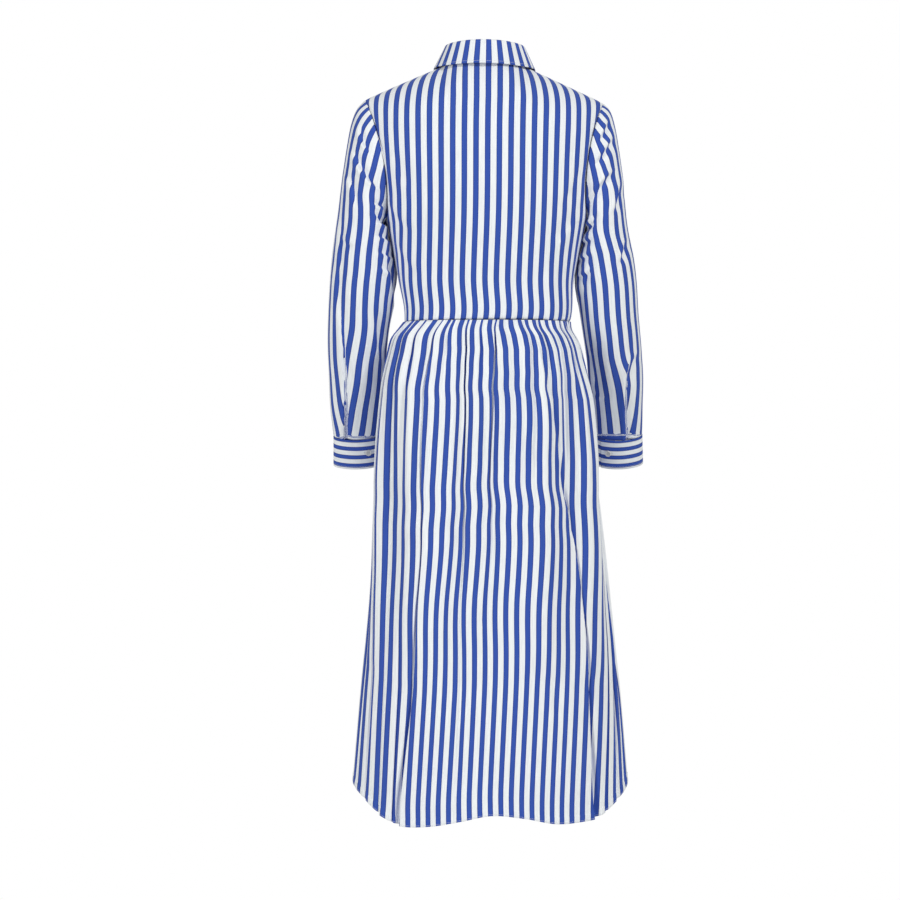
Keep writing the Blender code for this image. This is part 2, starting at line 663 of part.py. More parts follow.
def fold_angles(cloth, down, folds, width, facing):
    """Add up how steeply the cloth turns off its section at each place across a panel."""
    ripple_down, gathers, waves, _ = columns_of(RIPPLES)
    turn = 2.0 * math.pi * (cloth / width + 0.5)
    wander = 0.9 * np.sin(2.3 * turn + 1.0) + 0.6 * np.sin(3.7 * turn)
    angles = np.interp(down, ripple_down, gathers) * np.sin(GATHERS_PER_PANEL * turn + wander)
    wave = np.sin(SOFT_WAVES_PER_PANEL * turn + 0.8 * np.sin(turn) + 0.7)
    angles = angles + np.interp(down, ripple_down, waves) * wave
    for fold in folds:
        place = np.interp(down, (0.0, 0.33, 1.0), (fold.waist, fold.middle, fold.hem))
        steep = np.interp(down, (0.0, 0.33, 1.0), fold[4:])
        reach = np.clip((cloth - place) / fold.half_cloth, -1.0, 1.0)
        angles = angles + steep * np.sin(math.pi * reach)
    if facing < 0:
        angles = angles * ease((np.abs(cloth) - FLAT_BY_BAND) / FLAT_FADE)
    return angles


def skirt_row(down, facing, cloth_places):
    """Give one row of skirt points at places across the cloth, 0 at the centre, + to the left.

    The cloth isn't stretched: a row's steepness is scaled until its length fits its section.
    """
    width = SKIRT_BACK_CLOTH if facing > 0 else SKIRT_FRONT_CLOTH
    folds = list(BACK_FOLDS)
    if facing < 0:
        folds = list(FRONT_FOLDS)
        for fold in FRONT_FOLDS:
            places = (-FRONT_MIRROR_SCALE * place for place in fold[:3])
            folds.append(Fold(*places, *fold[3:]))
    arc, base, out = skirt_base(down, facing, SKIRT_FINE_STEPS + 1)
    cloth = np.linspace(-0.5 * width, 0.5 * width, SKIRT_FINE_STEPS + 1)
    middle = 0.5 * (cloth[1:] + cloth[:-1])
    shape = fold_angles(middle, down, folds, width, facing)
    low, high = 0.0, 6.0
    for _ in range(40):
        scale = 0.5 * (low + high)
        angles = STEEPEST * np.tanh(scale * shape / STEEPEST)
        if np.mean(np.cos(angles)) * width > arc[-1]:
            low = scale
        else:
            high = scale
    step = width / SKIRT_FINE_STEPS
    ahead = np.concatenate([[0.0], np.cumsum(np.cos(angles) * step)])
    ahead *= arc[-1] / ahead[-1]
    off = np.concatenate([[0.0], np.cumsum(np.sin(angles) * step)])
    if facing > 0:
        off -= np.interp(cloth, (cloth[0], cloth[-1]), (off[0], off[-1]))
    else:
        middle_off = off[SKIRT_FINE_STEPS // 2]
        knots = (cloth[0], -FLAT_BY_BAND, FLAT_BY_BAND, cloth[-1])
        off -= np.interp(cloth, knots, (off[0], middle_off, middle_off, off[-1]))
    ripple_down, _, _, stand_off = columns_of(RIPPLES)
    off *= np.interp(down, ripple_down, stand_off)
    place = [np.interp(ahead, arc, base[:, axis]) for axis in range(2)]
    aside = [np.interp(ahead, arc, out[:, axis]) for axis in range(2)]
    across, hem_z = columns_of(HEM)
    top = WAIST_Z - 0.5 * SEAM_GAP
    low_z = smooth_curve(cloth / (0.5 * width), across, hem_z)
    z = top + (low_z - top) * down
    fine = np.stack([place[0] + aside[0] * off, place[1] + aside[1] * off, z], axis=-1)
    return np.stack([np.interp(cloth_places, cloth, fine[:, axis]) for axis in range(3)], axis=-1)


def skirt_grid(facing, cloth_places):
    """Stack the rows of a skirt panel, closest together below the waist."""
    rows = [skirt_row(section.down, facing, cloth_places) for section in SKIRT]
    return np.array(rows)


def level_wall(name, outer, facing):
    """Make a skirt wall, moved in along level directions and kept to its side of the seams."""
    centre = np.zeros_like(outer)
    centre[..., 2] = outer[..., 2]
    inner = moved_in(outer, CLOTH, centre, level_rows=range(len(outer)))
    for grid in (outer, inner):
        grid[..., 1] = facing * np.maximum(facing * grid[..., 1], 0.5 * SEAM_GAP)
    return wall(name, posed(outer), posed(inner))


def build_skirt():
    """Make the back panel, both fronts and the band that lies on them."""
    half = 0.5 * SKIRT_BACK_CLOTH
    back = skirt_grid(1.0, np.linspace(-half, half, SKIRT_BACK_COLUMNS))
    level_wall("skirt_back", back, 1.0)
    half = 0.5 * SKIRT_FRONT_CLOTH
    left = skirt_grid(-1.0, np.linspace(-UNDERLAP, half, SKIRT_FRONT_COLUMNS))
    level_wall("skirt_front_left", left, -1.0)
    start = UNDERLAP + 2.0 * SEAM_GAP
    right = skirt_grid(-1.0, np.linspace(-half, -start, SKIRT_FRONT_COLUMNS))
    level_wall("skirt_front_right", right, -1.0)
    under = skirt_grid(-1.0, np.array([-BAND_HALF_WIDTH, 0.0, BAND_HALF_WIDTH]))
    centre = np.zeros_like(under)
    centre[..., 2] = under[..., 2]
    lay_band("placket_skirt", under, centre)


# ---------------------------------------------------------------- sleeves and cuffs


def sleeve_frames(side, table):
    """Give each ring's middle, outer direction, back direction, half width and half depth."""
    ends = posed(armhole(side, np.array([0.0, math.pi]), 1.0))
    columns = columns_of(table)
    outer_x, outer_z, inner_x, inner_z, half_depth, forward = columns
    outer_x = np.concatenate([[ends[0, 0]], outer_x])
    outer_z = np.concatenate([[ends[0, 2]], outer_z])
    inner_x = np.concatenate([[ends[1, 0]], inner_x])
    inner_z = np.concatenate([[ends[1, 2]], inner_z])
    half_depth = np.concatenate([[ARMHOLE_HALF_DEPTH], half_depth])
    forward = np.concatenate([[0.0], forward])
    middle = np.stack([outer_x + inner_x, -2.0 * forward, outer_z + inner_z], axis=-1) / 2.0
    reach = np.stack([outer_x - inner_x, 0.0 * forward, outer_z - inner_z], axis=-1)
    along = unit(np.gradient(middle, axis=0))
    along[:4, 1] = 0.0
    aside = unit(reach)
    behind = np.cross(along, aside)
    behind = unit(behind * np.sign(behind[:, 1:2]))
    return middle, aside, behind, 0.5 * np.linalg.norm(reach, axis=-1), half_depth


def ring_points(frame, angle):
    """Give points round a ring at angles from its outermost point by way of the back."""
    middle, aside, behind, half_width, half_depth = frame
    return (middle + aside * (half_width * np.cos(angle))[..., None]
            + behind * (half_depth * np.sin(angle))[..., None])


def build_sleeve(name, side, table):
    """Make a sleeve from its armhole, moved out by a seam's gap, down to the cuff."""
    frames = sleeve_frames(side, table)
    angle = np.linspace(0.0, 2.0 * math.pi, SLEEVE_COLUMNS, endpoint=False)
    seam = posed(armhole(side, angle, 1.0))
    seam[:, 0] += side * SEAM_GAP
    bend = seam - ring_points([part[0] for part in frames], angle)
    rows = []
    for ring in range(len(table) + 1):
        row = ring_points([part[ring] for part in frames], angle)
        rows.append(row + bend * max(0.0, 1.0 - ring / 4.0))
    outer = np.array(rows)
    middle = np.broadcast_to(frames[0][:, None, :], outer.shape)
    inner = moved_in(outer, CLOTH, middle, closed=True, flat_x=(0, slice(None)))
    wall(name, outer, inner, closed=True)
    return frames


def cuff_point(frames, angle, down, extra):
    """Give points of a cuff's outer face; it starts under its button and ends by lapping over it."""
    last = [part[-1] for part in frames]
    along = unit(frames[0][-1] - frames[0][-2])
    start = CUFF_END_ANGLE - CUFF_LAP_ANGLE
    lapped = ease((angle - start - 2.0 * math.pi + CUFF_LAP_EASE) / CUFF_LAP_EASE)
    lift = CUFF_EASE + extra + lapped * (STIFF_CLOTH + SEAM_GAP)
    grown = [last[0], last[1], last[2], last[3] + lift, last[4] + lift]
    move = SEAM_GAP + (CUFF_HEIGHT - SEAM_GAP) * down
    return ring_points(grown, angle) + along * move[..., None]


def build_cuff(name, frames):
    """Make a cuff as a stiff band whose ends lap."""
    start = CUFF_END_ANGLE - CUFF_LAP_ANGLE
    turn = np.linspace(start, CUFF_END_ANGLE + 2.0 * math.pi, CUFF_COLUMNS)
    angle, down = np.meshgrid(turn, np.linspace(0.0, 1.0, 3))
    outer = cuff_point(frames, angle, down, 0.0)
    inner = cuff_point(frames, angle, down, -STIFF_CLOTH)
    wall(name, outer, inner)


# ---------------------------------------------------------------- buttons


def build_button(name, seat, facing):
    """Turn a button with a raised rim, its back a seam's gap off the seat."""
    r = BUTTON_RADIUS
    t = BUTTON_THICKNESS
    profile = ((r, 0.0), (r, 0.8 * t), (0.9 * r, t), (0.66 * r, t), (0.58 * r, 0.7 * t))
    facing = unit(np.asarray(facing, float))
    helper = np.array([0.0, 0.0, 1.0]) if abs(facing[2]) < 0.9 else np.array([1.0, 0.0, 0.0])
    side = unit(np.cross(helper, facing))
    up = np.cross(facing, side)
    seat = np.asarray(seat) + facing * SEAM_GAP
    turn = np.linspace(0.0, 2.0 * math.pi, BUTTON_SIDES, endpoint=False)
    round_it = side * np.cos(turn)[:, None] + up * np.sin(turn)[:, None]
    rings = [seat + round_it * radius + facing * height for radius, height in profile]
    vertices = np.concatenate(rings)
    faces = [tuple(range(BUTTON_SIDES))]
    for ring in range(len(profile) - 1):
        first = ring * BUTTON_SIDES
        for k in range(BUTTON_SIDES):
            after = (k + 1) % BUTTON_SIDES
            faces.append((first + k, first + BUTTON_SIDES + k,
                          first + BUTTON_SIDES + after, first + after))
    last = (len(profile) - 1) * BUTTON_SIDES
    faces.append(tuple(last + k for k in range(BUTTON_SIDES)))
    return make_object(name, vertices, faces, BUTTON_WHITE, 0.35)


def seat_on_line(points, z):
    """Give the point and the facing at a height on a line that runs down the centre front."""
    rising = points[::-1]
    seat = np.array([np.interp(z, rising[:, 2], rising[:, axis]) for axis in range(3)])
    ahead = np.array([np.interp(z + SEAT_STEP, rising[:, 2], rising[:, axis]) for axis in range(3)])
    facing = unit(np.cross(ahead - seat, np.array([-1.0, 0.0, 0.0])))
    facing = facing * -np.sign(facing[1])
    return seat + facing * (CLOTH + SEAM_GAP), facing


def build_buttons(left_frames, right_frames):
    """Place the buttons of the front, the collar stand and the cuffs."""
    down = np.linspace(0.0, 1.0, FRONT_LINE_POINTS)
    line = posed(bodice_points(np.zeros_like(down), down, -1.0))
    for number, z in enumerate(BODICE_BUTTON_Z, 1):
        build_button(f"button_bodice_{number}", *seat_on_line(line, z))
    line = posed(np.array([skirt_row(share, -1.0, np.array([0.0]))[0] for share in down]))
    for number, z in enumerate(SKIRT_BUTTON_Z, 1):
        build_button(f"button_skirt_{number}", *seat_on_line(line, z))
    throat = posed(stand_point(np.full(2, -math.pi), np.array(THROAT_BUTTON_HEIGHTS)))
    facing = np.cross(throat[1] - throat[0], np.array([-1.0, 0.0, 0.0]))
    facing = facing * -np.sign(facing[1])
    build_button("button_collar", 0.5 * (throat[0] + throat[1]), facing)
    for name, frames in (("left", left_frames), ("right", right_frames)):
        angle = np.array([CUFF_BUTTON_ANGLE + 2.0 * math.pi])
        down = np.array([CUFF_BUTTON_DOWN])
        seat = cuff_point(frames, angle, down, 0.0)[0]
        away = cuff_point(frames, angle, down, SEAT_STEP)[0]
        build_button(f"button_cuff_{name}", seat, away - seat)


def main():
    """Build the dress piece by piece."""
    for thing in list(bpy.data.objects):
        bpy.data.objects.remove(thing)
    build_bodice()
    build_bodice_band()
    build_collar_stand()
    build_collar_fall()
    build_skirt()
    left = build_sleeve("sleeve_left", 1.0, SLEEVE_LEFT)
    right = build_sleeve("sleeve_right", -1.0, SLEEVE_RIGHT)
    build_cuff("cuff_left", left)
    build_cuff("cuff_right", right)
    build_buttons(left, right)


main()
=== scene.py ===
"""Striped cotton shirt dress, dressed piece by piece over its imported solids.

Every piece of cloth is a grid of points worked out from two parameters, across and down the piece,
with the flat cloth's own coordinates kept as its UV map in metres, so that stripes and weave follow
the cloth. Metres, +Z up, the dress faces -Y and the wearer's left is +X.
"""

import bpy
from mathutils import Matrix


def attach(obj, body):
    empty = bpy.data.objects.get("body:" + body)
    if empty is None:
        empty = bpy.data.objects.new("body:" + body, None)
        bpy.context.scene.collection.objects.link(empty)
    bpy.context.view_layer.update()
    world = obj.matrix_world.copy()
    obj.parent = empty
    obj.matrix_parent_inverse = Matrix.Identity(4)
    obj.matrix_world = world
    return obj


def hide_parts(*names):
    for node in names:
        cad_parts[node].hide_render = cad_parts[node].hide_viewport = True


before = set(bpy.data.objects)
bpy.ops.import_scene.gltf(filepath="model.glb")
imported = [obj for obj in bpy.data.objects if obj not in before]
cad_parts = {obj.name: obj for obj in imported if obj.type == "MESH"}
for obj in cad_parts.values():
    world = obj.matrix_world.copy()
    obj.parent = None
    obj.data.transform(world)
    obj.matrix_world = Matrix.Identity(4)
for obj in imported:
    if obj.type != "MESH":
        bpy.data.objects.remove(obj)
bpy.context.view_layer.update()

import logging
import math
from dataclasses import dataclass, field
from enum import Enum
from typing import NamedTuple, Optional, Sequence

import bmesh
import bpy
import numpy as np

Array = np.ndarray
log = logging.getLogger("shirt_dress")

ROOT_BODY = "root"
SEAM_GAP = 0.0003
CAD_CLOTH = 0.0012
STIFF_CLOTH = 0.0016
WAIST_Z = -0.400
BODY_AXIS_Y = -0.010
BODY_AXIS_TOP = -0.10


# ------------------------------------------------------------------ small shared mathematics


def table(kind: type, *rows: Sequence[float]) -> tuple:
    """Make a table of one kind of named row from rows of numbers."""
    return tuple(kind(*row) for row in rows)


def columns_of(rows: Sequence[NamedTuple]) -> list[Array]:
    """Give a table's columns as arrays."""
    return [np.array(column) for column in zip(*rows)]


def smooth_curve(at: Array, knots: Array, values: Array) -> Array:
    """Read a smooth curve through (knots, values): a cubic between knots with averaged slopes.

    Args:
        at: places to read the curve at, held to the knots' range.
        knots: rising places of the knots.
        values: the curve's values there.

    Returns:
        The curve's values at the places.
    """
    slopes = np.gradient(values, knots)
    at = np.clip(at, knots[0], knots[-1])
    i = np.clip(np.searchsorted(knots, at) - 1, 0, len(knots) - 2)
    step = knots[i + 1] - knots[i]
    f = (at - knots[i]) / step
    rise = f * f * (3.0 - 2.0 * f)
    bend = slopes[i] * f * (1.0 - f) ** 2 - slopes[i + 1] * f * f * (1.0 - f)
    return values[i] * (1.0 - rise) + values[i + 1] * rise + bend * step


def curves(at: Array, rows: Sequence[NamedTuple]) -> list[Array]:
    """Read the smooth curves of a table's later columns over its first at some places."""
    knots, *values = columns_of(rows)
    return [smooth_curve(at, knots, column) for column in values]


def read_columns(at: Array, places: Array, values: Array) -> Array:
    """Read each column of values, given at rising places, at other places."""
    return np.stack([np.interp(at, places, column) for column in values.T], axis=-1)


def ease(f: Array) -> Array:
    """Go smoothly from 0 to 1 as f does."""
    f = np.clip(f, 0.0, 1.0)
    return f * f * (3.0 - 2.0 * f)


def quarter_turn(f: Array) -> Array:
    """Go from 0 to 1 as a quarter round does, level at the end."""
    return np.sqrt(1.0 - (1.0 - np.clip(f, 0.0, 1.0)) ** 2)


def unit(vectors: Array) -> Array:
    """Scale vectors to length 1."""
    return vectors / np.maximum(np.linalg.norm(vectors, axis=-1, keepdims=True), 1e-12)


def running_length(steps: Array, axis: int) -> Array:
    """Add up the lengths of steps along an axis, starting from 0."""
    total = np.cumsum(steps, axis=axis)
    return np.concatenate([np.zeros_like(np.take(total, [0], axis=axis)), total], axis=axis)


class Facing(Enum):
    """Which way a panel faces, as the sign of Y."""

    BACK = 1.0
    FRONT = -1.0


class Side(Enum):
    """Which of the wearer's sides a piece is on, as the sign of X."""

    LEFT = 1.0
    RIGHT = -1.0


# ------------------------------------------------------------------ how the whole dress hangs


class Sway(NamedTuple):
    """How far the dress hangs to its left at a height."""

    z: float
    shift: float


SWAY = table(
    Sway,
    (-1.21, -0.005), (-0.9, -0.0045), (-0.8, -0.0027), (-0.72, 0.0008), (-0.65, 0.003),
    (-0.55, 0.0012), (-0.45, 0.0035), (-0.415, 0.0036), (-0.4, -0.0002), (-0.333, 0.0015),
    (-0.245, 0.0012), (-0.05, 0.0045), (0.06, 0.0028),
)
SHOULDER_TILT = 0.016


def posed(points: Array) -> Array:
    """Shift points by the dress's sway and raise its left shoulder.

    Args:
        points: points of the dress as it would hang straight and level.

    Returns:
        The points as it hangs.
    """
    (shift,) = curves(points[..., 2], SWAY)
    out = points.copy()
    fade = np.clip(1.0 - points[..., 2] / WAIST_Z, 0.0, 1.0)
    out[..., 0] += shift
    out[..., 2] += SHOULDER_TILT * points[..., 0] * fade
    return out


# ------------------------------------------------------------------ cloth grids and creases


class Crease(NamedTuple):
    """A soft crease between two places on one face of the dress, in metres of X and Z.

    width is its half width, depth its height, negative for a trough, taken_up the cloth that it
    hides, bow how far its middle lies off the straight line, and open_end 1 where it runs into a
    seam at its second place instead of dying out.
    """

    x0: float
    z0: float
    x1: float
    z1: float
    width: float
    depth: float
    taken_up: float
    bow: float
    open_end: float


@dataclass(frozen=True)
class CreaseShape:
    """How every crease falls off, across it in shares of its half width.

    Attributes:
        end: the share of its length over which an end dies out.
        steep: how far the bell reaches on its steep side.
        slow: how far it reaches on its long side.
        ridge: the low bell's height, as a share of the crease's.
        ridge_place: how far from the crease's line the low bell lies, on the steep side.
        ridge_reach: how far the low bell reaches.
        step: metres over which the cloth that is taken up changes sides.
        settle: metres over which its shift dies out.
    """

    end: float = 0.35
    steep: float = 0.35
    slow: float = 1.35
    ridge: float = 0.45
    ridge_place: float = 0.95
    ridge_reach: float = 0.7
    step: float = 0.0012
    settle: float = 0.022


@dataclass
class ClothGrid:
    """A piece of cloth as a grid of points.

    Attributes:
        points: rows by columns by XYZ, in metres.
        cloth: the flat cloth's across and down at each point, in metres; one column more on a ring.
        centre: a point inside the dress beside each point, which shows the side that is in.
        ring: whether the last column joins the first.
        shape: how its creases fall off.
    """

    points: Array
    cloth: Array
    centre: Array
    ring: bool = False
    shape: CreaseShape = CreaseShape()

    def steps(self) -> tuple[Array, Array]:
        """Give the grid's steps across and down at each point.

        Returns:
            The steps across and the steps down.
        """
        if self.ring:
            across = 0.5 * (np.roll(self.points, -1, axis=1) - np.roll(self.points, 1, axis=1))
        else:
            across = np.gradient(self.points, axis=1)
        return across, np.gradient(self.points, axis=0)

    def faces_out(self) -> bool:
        """Tell whether across times down points away from the centre over most of the grid."""
        across, down = self.steps()
        return float(np.sum(np.cross(across, down) * (self.points - self.centre))) > 0.0

    def normals(self) -> Array:
        """Give the outward normals: the cross product of the steps, turned out.

        Returns:
            Unit vectors, rows by columns by XYZ.
        """
        across, down = self.steps()
        turned = unit(np.cross(across, down))
        return turned if self.faces_out() else -turned

    def raise_by(self, height: Array) -> None:
        """Move every point out by its height."""
        self.points = self.points + self.normals() * height[..., None]

    def from_edges(self) -> tuple[Array, Array, Array, Array]:
        """Give each point's distance along the cloth from the top, bottom, first and last edge.

        Returns:
            The four distances in metres, rows by columns.
        """
        along = np.linalg.norm(np.diff(self.points, axis=0), axis=-1)
        top = running_length(along, 0)
        aside = np.linalg.norm(np.diff(self.points, axis=1), axis=-1)
        first = running_length(aside, 1)
        return top, top[-1:] - top, first, first[:, -1:] - first

    def dip_at_seams(self, edges: str, depth: float = 0.0007, width: float = 0.0028) -> None:
        """Turn the cloth in at its seams by a rounded step.

        Args:
            edges: which edges are seams, from the letters t, b, f and l for top, bottom, first
                and last column.
            depth: how far the edge turns in.
            width: how far from the edge the turn reaches.
        """
        distances = dict(zip("tbfl", self.from_edges()))
        for edge in edges:
            self.raise_by(-depth * np.exp(-((distances[edge] / width) ** 2)))

    def crease(self, creases: Sequence[Crease], weight: Array) -> None:
        """Lay creases on the grid: soft ridges and troughs that also take up cloth.

        A crease's height falls off across it as a bell that is steep on one side and long on the
        other, with a low bell the other way up beyond the steep side. The cloth that it takes up
        shifts the flat coordinates apart on its two sides, most at the crease and dying out away
        from it.

        Args:
            creases: the creases.
            weight: 0 to 1, how much each point belongs to the face that the creases lie on.
        """
        height = np.zeros(self.points.shape[:2])
        shift = np.zeros(self.points.shape[:2] + (2,))
        x, z = self.points[..., 0], self.points[..., 2]
        like = self.shape
        for c in creases:
            run = np.array([c.x1 - c.x0, c.z1 - c.z0])
            length = float(np.hypot(*run))
            run = run / length
            along = ((x - c.x0) * run[0] + (z - c.z0) * run[1]) / length
            inside = np.clip(along, 0.0, 1.0)
            off = (x - c.x0) * -run[1] + (z - c.z0) * run[0] - 4.0 * c.bow * inside * (1.0 - inside)
            end = 1.0 if c.open_end else ease((1.0 - along) / like.end)
            fade = weight * ease(along / like.end) * end
            reach = np.where(off > 0.0, like.steep, like.slow) * c.width
            beyond = (off / c.width - like.ridge_place) / like.ridge_reach
            ridge = like.ridge * np.exp(-beyond ** 2)
            height = height + c.depth * fade * (np.exp(-((off / reach) ** 2)) - ridge)
            pull = 0.5 * c.taken_up * fade * np.tanh(off / like.step)
            pull = pull * np.exp(-np.abs(off) / like.settle)
            shift = shift + pull[..., None] * np.array([-run[1], run[0]])
        gradients = self.cloth_gradients()
        moved = shift[..., 0, None] * gradients[..., 0] + shift[..., 1, None] * gradients[..., 2]
        if self.ring:
            moved = np.concatenate([moved, moved[:, :1]], axis=1)
        self.cloth = self.cloth + moved
        self.raise_by(height)

    def cloth_gradients(self) -> Array:
        """Give how each flat coordinate grows in space, as rows by columns by 2 by XYZ.

        The gradient lies in the surface: it is the mix of the steps across and down whose products
        with those steps are the coordinate's own differences.

        Returns:
            The gradients of the coordinates across and down.
        """
        across, down = self.steps()
        flat = self.cloth[:, : self.points.shape[1]]
        if self.ring:
            wide = np.concatenate([self.cloth[:, -2:-1] - self.cloth[:, -1:], self.cloth], axis=1)
            du = 0.5 * (wide[:, 2:] - wide[:, :-2])
        else:
            du = np.gradient(flat, axis=1)
        dv = np.gradient(flat, axis=0)
        aa, ad = np.sum(across * across, -1), np.sum(across * down, -1)
        dd = np.sum(down * down, -1)
        scale = 1.0 / np.maximum(aa * dd - ad * ad, 1e-16)
        p = (du * dd[..., None] - dv * ad[..., None]) * scale[..., None]
        q = (dv * aa[..., None] - du * ad[..., None]) * scale[..., None]
        return p[..., None] * across[..., None, :] + q[..., None] * down[..., None, :]

    def build(self, name: str, thickness: float, finish: bpy.types.Material) -> bpy.types.Object:
        """Make the grid's mesh with its UV map and give it a wall inwards.

        Args:
            name: the piece's name.
            thickness: the wall's thickness in metres.
            finish: the piece's material.

        Returns:
            The piece.
        """
        rows, columns = self.points.shape[:2]
        spans = columns if self.ring else columns - 1
        row, column = np.meshgrid(np.arange(rows - 1), np.arange(spans), indexing="ij")
        after = (column + 1) % columns
        corners = [row * columns + column, row * columns + after,
                   (row + 1) * columns + after, (row + 1) * columns + column]
        flat = self.cloth
        uvs = [flat[row, column], flat[row, column + 1],
               flat[row + 1, column + 1], flat[row + 1, column]]
        if not self.faces_out():
            corners.reverse()
            uvs.reverse()
        loops = np.stack(corners, axis=-1).reshape(-1)
        mesh = mesh_from_arrays(name, self.points.reshape(-1, 3), loops, 4)
        layer = mesh.uv_layers.new(name="cloth")
        layer.data.foreach_set("uv", np.stack(uvs, axis=-2).reshape(-1).astype(np.float32))
        piece = link_piece(name, mesh, finish)
        wall = piece.modifiers.new("wall", "SOLIDIFY")
        wall.thickness = thickness
        wall.offset = -1.0
        wall.use_rim = True
        return piece


def mesh_from_arrays(name: str, points: Array, loops: Array, corners: int) -> bpy.types.Mesh:
    """Fill a mesh from a point array and a flat array of corner indices, all faces alike.

    Args:
        name: the mesh's name.
        points: the vertices.
        loops: the vertex index of every face corner in turn.
        corners: the corners of one face.

    Returns:
        The smooth-shaded mesh.
    """
    mesh = bpy.data.meshes.new(name)
    mesh.vertices.add(len(points))
    mesh.vertices.foreach_set("co", points.reshape(-1).astype(np.float32))
    count = len(loops) // corners
    mesh.loops.add(len(loops))
    mesh.loops.foreach_set("vertex_index", loops.astype(np.int32))
    mesh.polygons.add(count)
    mesh.polygons.foreach_set("loop_start", (np.arange(count) * corners).astype(np.int32))
    mesh.update(calc_edges=True)
    mesh.validate()
    mesh.shade_smooth()
    return mesh


def mesh_of(work: bmesh.types.BMesh, name: str) -> bpy.types.Mesh:
    """Turn finished bmesh work into a mesh.

    Args:
        work: the finished work, which is freed.
        name: the mesh's name.

    Returns:
        The mesh.
    """
    mesh = bpy.data.meshes.new(name)
    work.to_mesh(mesh)
    work.free()
    return mesh


def tube_faces(rings: int, sides: int, closed: bool = False) -> Array:
    """Give the faces between a tube's rings.

    Args:
        rings: how many rings of points the tube has.
        sides: the points of one ring.
        closed: whether the last ring joins the first.

    Returns:
        The four corner indices of each face.
    """
    ring, k = np.meshgrid(np.arange(rings if closed else rings - 1), np.arange(sides),
                          indexing="ij")
    after, beside = (ring + 1) % rings, (k + 1) % sides
    return np.stack([ring * sides + k, after * sides + k, after * sides + beside,
                     ring * sides + beside], axis=-1).reshape(-1, 4)


def link(name: str, data: bpy.types.ID) -> bpy.types.Object:
    """Make an object at the origin and put it in the scene.

    Args:
        name: the object's name.
        data: its mesh, light or camera.

    Returns:
        The object.
    """
    thing = bpy.data.objects.new(name, data)
    bpy.context.scene.collection.objects.link(thing)
    return thing


def link_piece(name: str, mesh: bpy.types.Mesh, *finishes: bpy.types.Material) -> bpy.types.Object:
    """Make a mesh a piece of the dress, with its materials, that rides on its body.

    Args:
        name: the piece's name.
        mesh: its mesh.
        finishes: its materials.

    Returns:
        The piece.
    """
    for finish in finishes:
        mesh.materials.append(finish)
    piece = link(name, mesh)
    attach(piece, ROOT_BODY)
    return piece


def lifted_clear(points: Array, surface: Array, normals: Array, clearance: float,
                 reach: float = 0.015) -> Array:
    """Give how far points must move to lie at a clearance over a surface, as vectors.

    Args:
        points: the points to move, one to a row.
        surface: points of the surface that they keep clear of, one to a row.
        normals: the surface's outward normals there.
        clearance: the least height over the surface.
        reach: how far away the surface still counts.

    Returns:
        The moves; none where a point is clear or the surface out of reach.
    """
    apart = (points ** 2).sum(-1)[:, None] + (surface ** 2).sum(-1) - 2.0 * points @ surface.T
    place = np.argmin(apart, axis=1)
    away = points - surface[place]
    height = np.sum(away * normals[place], axis=-1)
    beside = np.linalg.norm(away, axis=-1) < reach
    return normals[place] * (np.maximum(0.0, clearance - height) * beside)[:, None]


def body_axis(points: Array) -> Array:
    """Give the point of the body's axis beside each point, a little in front of the origin.

    Args:
        points: points of the dress.

    Returns:
        The axis's points, one to each.
    """
    axis = level_axis(points)
    axis[..., 1] = BODY_AXIS_Y
    axis[..., 2] = np.minimum(points[..., 2], BODY_AXIS_TOP)
    return axis


def level_axis(points: Array) -> Array:
    """Give the point of the upright axis through the origin that is level with each point.

    Args:
        points: points of the dress.

    Returns:
        The axis's points, one to each.
    """
    axis = np.zeros_like(points)
    axis[..., 2] = points[..., 2]
    return axis


# ------------------------------------------------------------------ finishes


def linear(hex_colour: str) -> tuple[float, float, float, float]:
    """Turn an sRGB hex colour into linear light.

    Args:
        hex_colour: the colour as # and six digits.

    Returns:
        Red, green, blue and 1.
    """
    parts = [int(hex_colour[i:i + 2], 16) / 255.0 for i in (1, 3, 5)]
    light = [c / 12.92 if c <= 0.04045 else ((c + 0.055) / 1.055) ** 2.4 for c in parts]
    return (*light, 1.0)


def add_node(tree: bpy.types.NodeTree, kind: str, values: Optional[dict] = None,
             links: Optional[dict] = None, **settings: object) -> bpy.types.Node:
    """Add a node with its settings, socket values and links.

    Args:
        tree: the node tree.
        kind: the node's type name.
        values: socket name or number to value.
        links: socket name or number to the output that feeds it.
        settings: the node's own settings.

    Returns:
        The node.
    """
    node = tree.nodes.new(kind)
    for name, value in settings.items():
        setattr(node, name, value)
    for socket, value in (values or {}).items():
        node.inputs[socket].default_value = value
    for socket, source in (links or {}).items():
        tree.links.new(source, node.inputs[socket])
    return node


def new_material(name: str, **inputs: object
                 ) -> tuple[bpy.types.Material, bpy.types.NodeTree, bpy.types.Node]:
    """Start a material.

    Args:
        name: the material's name.
        inputs: values for its shader, by socket name with _ for a space.

    Returns:
        The material, its node tree and its shader.
    """
    material = bpy.data.materials.new(name)
    material.use_nodes = True
    shader = material.node_tree.nodes["Principled BSDF"]
    for socket, value in inputs.items():
        shader.inputs[socket.replace("_", " ")].default_value = value
    return material, material.node_tree, shader


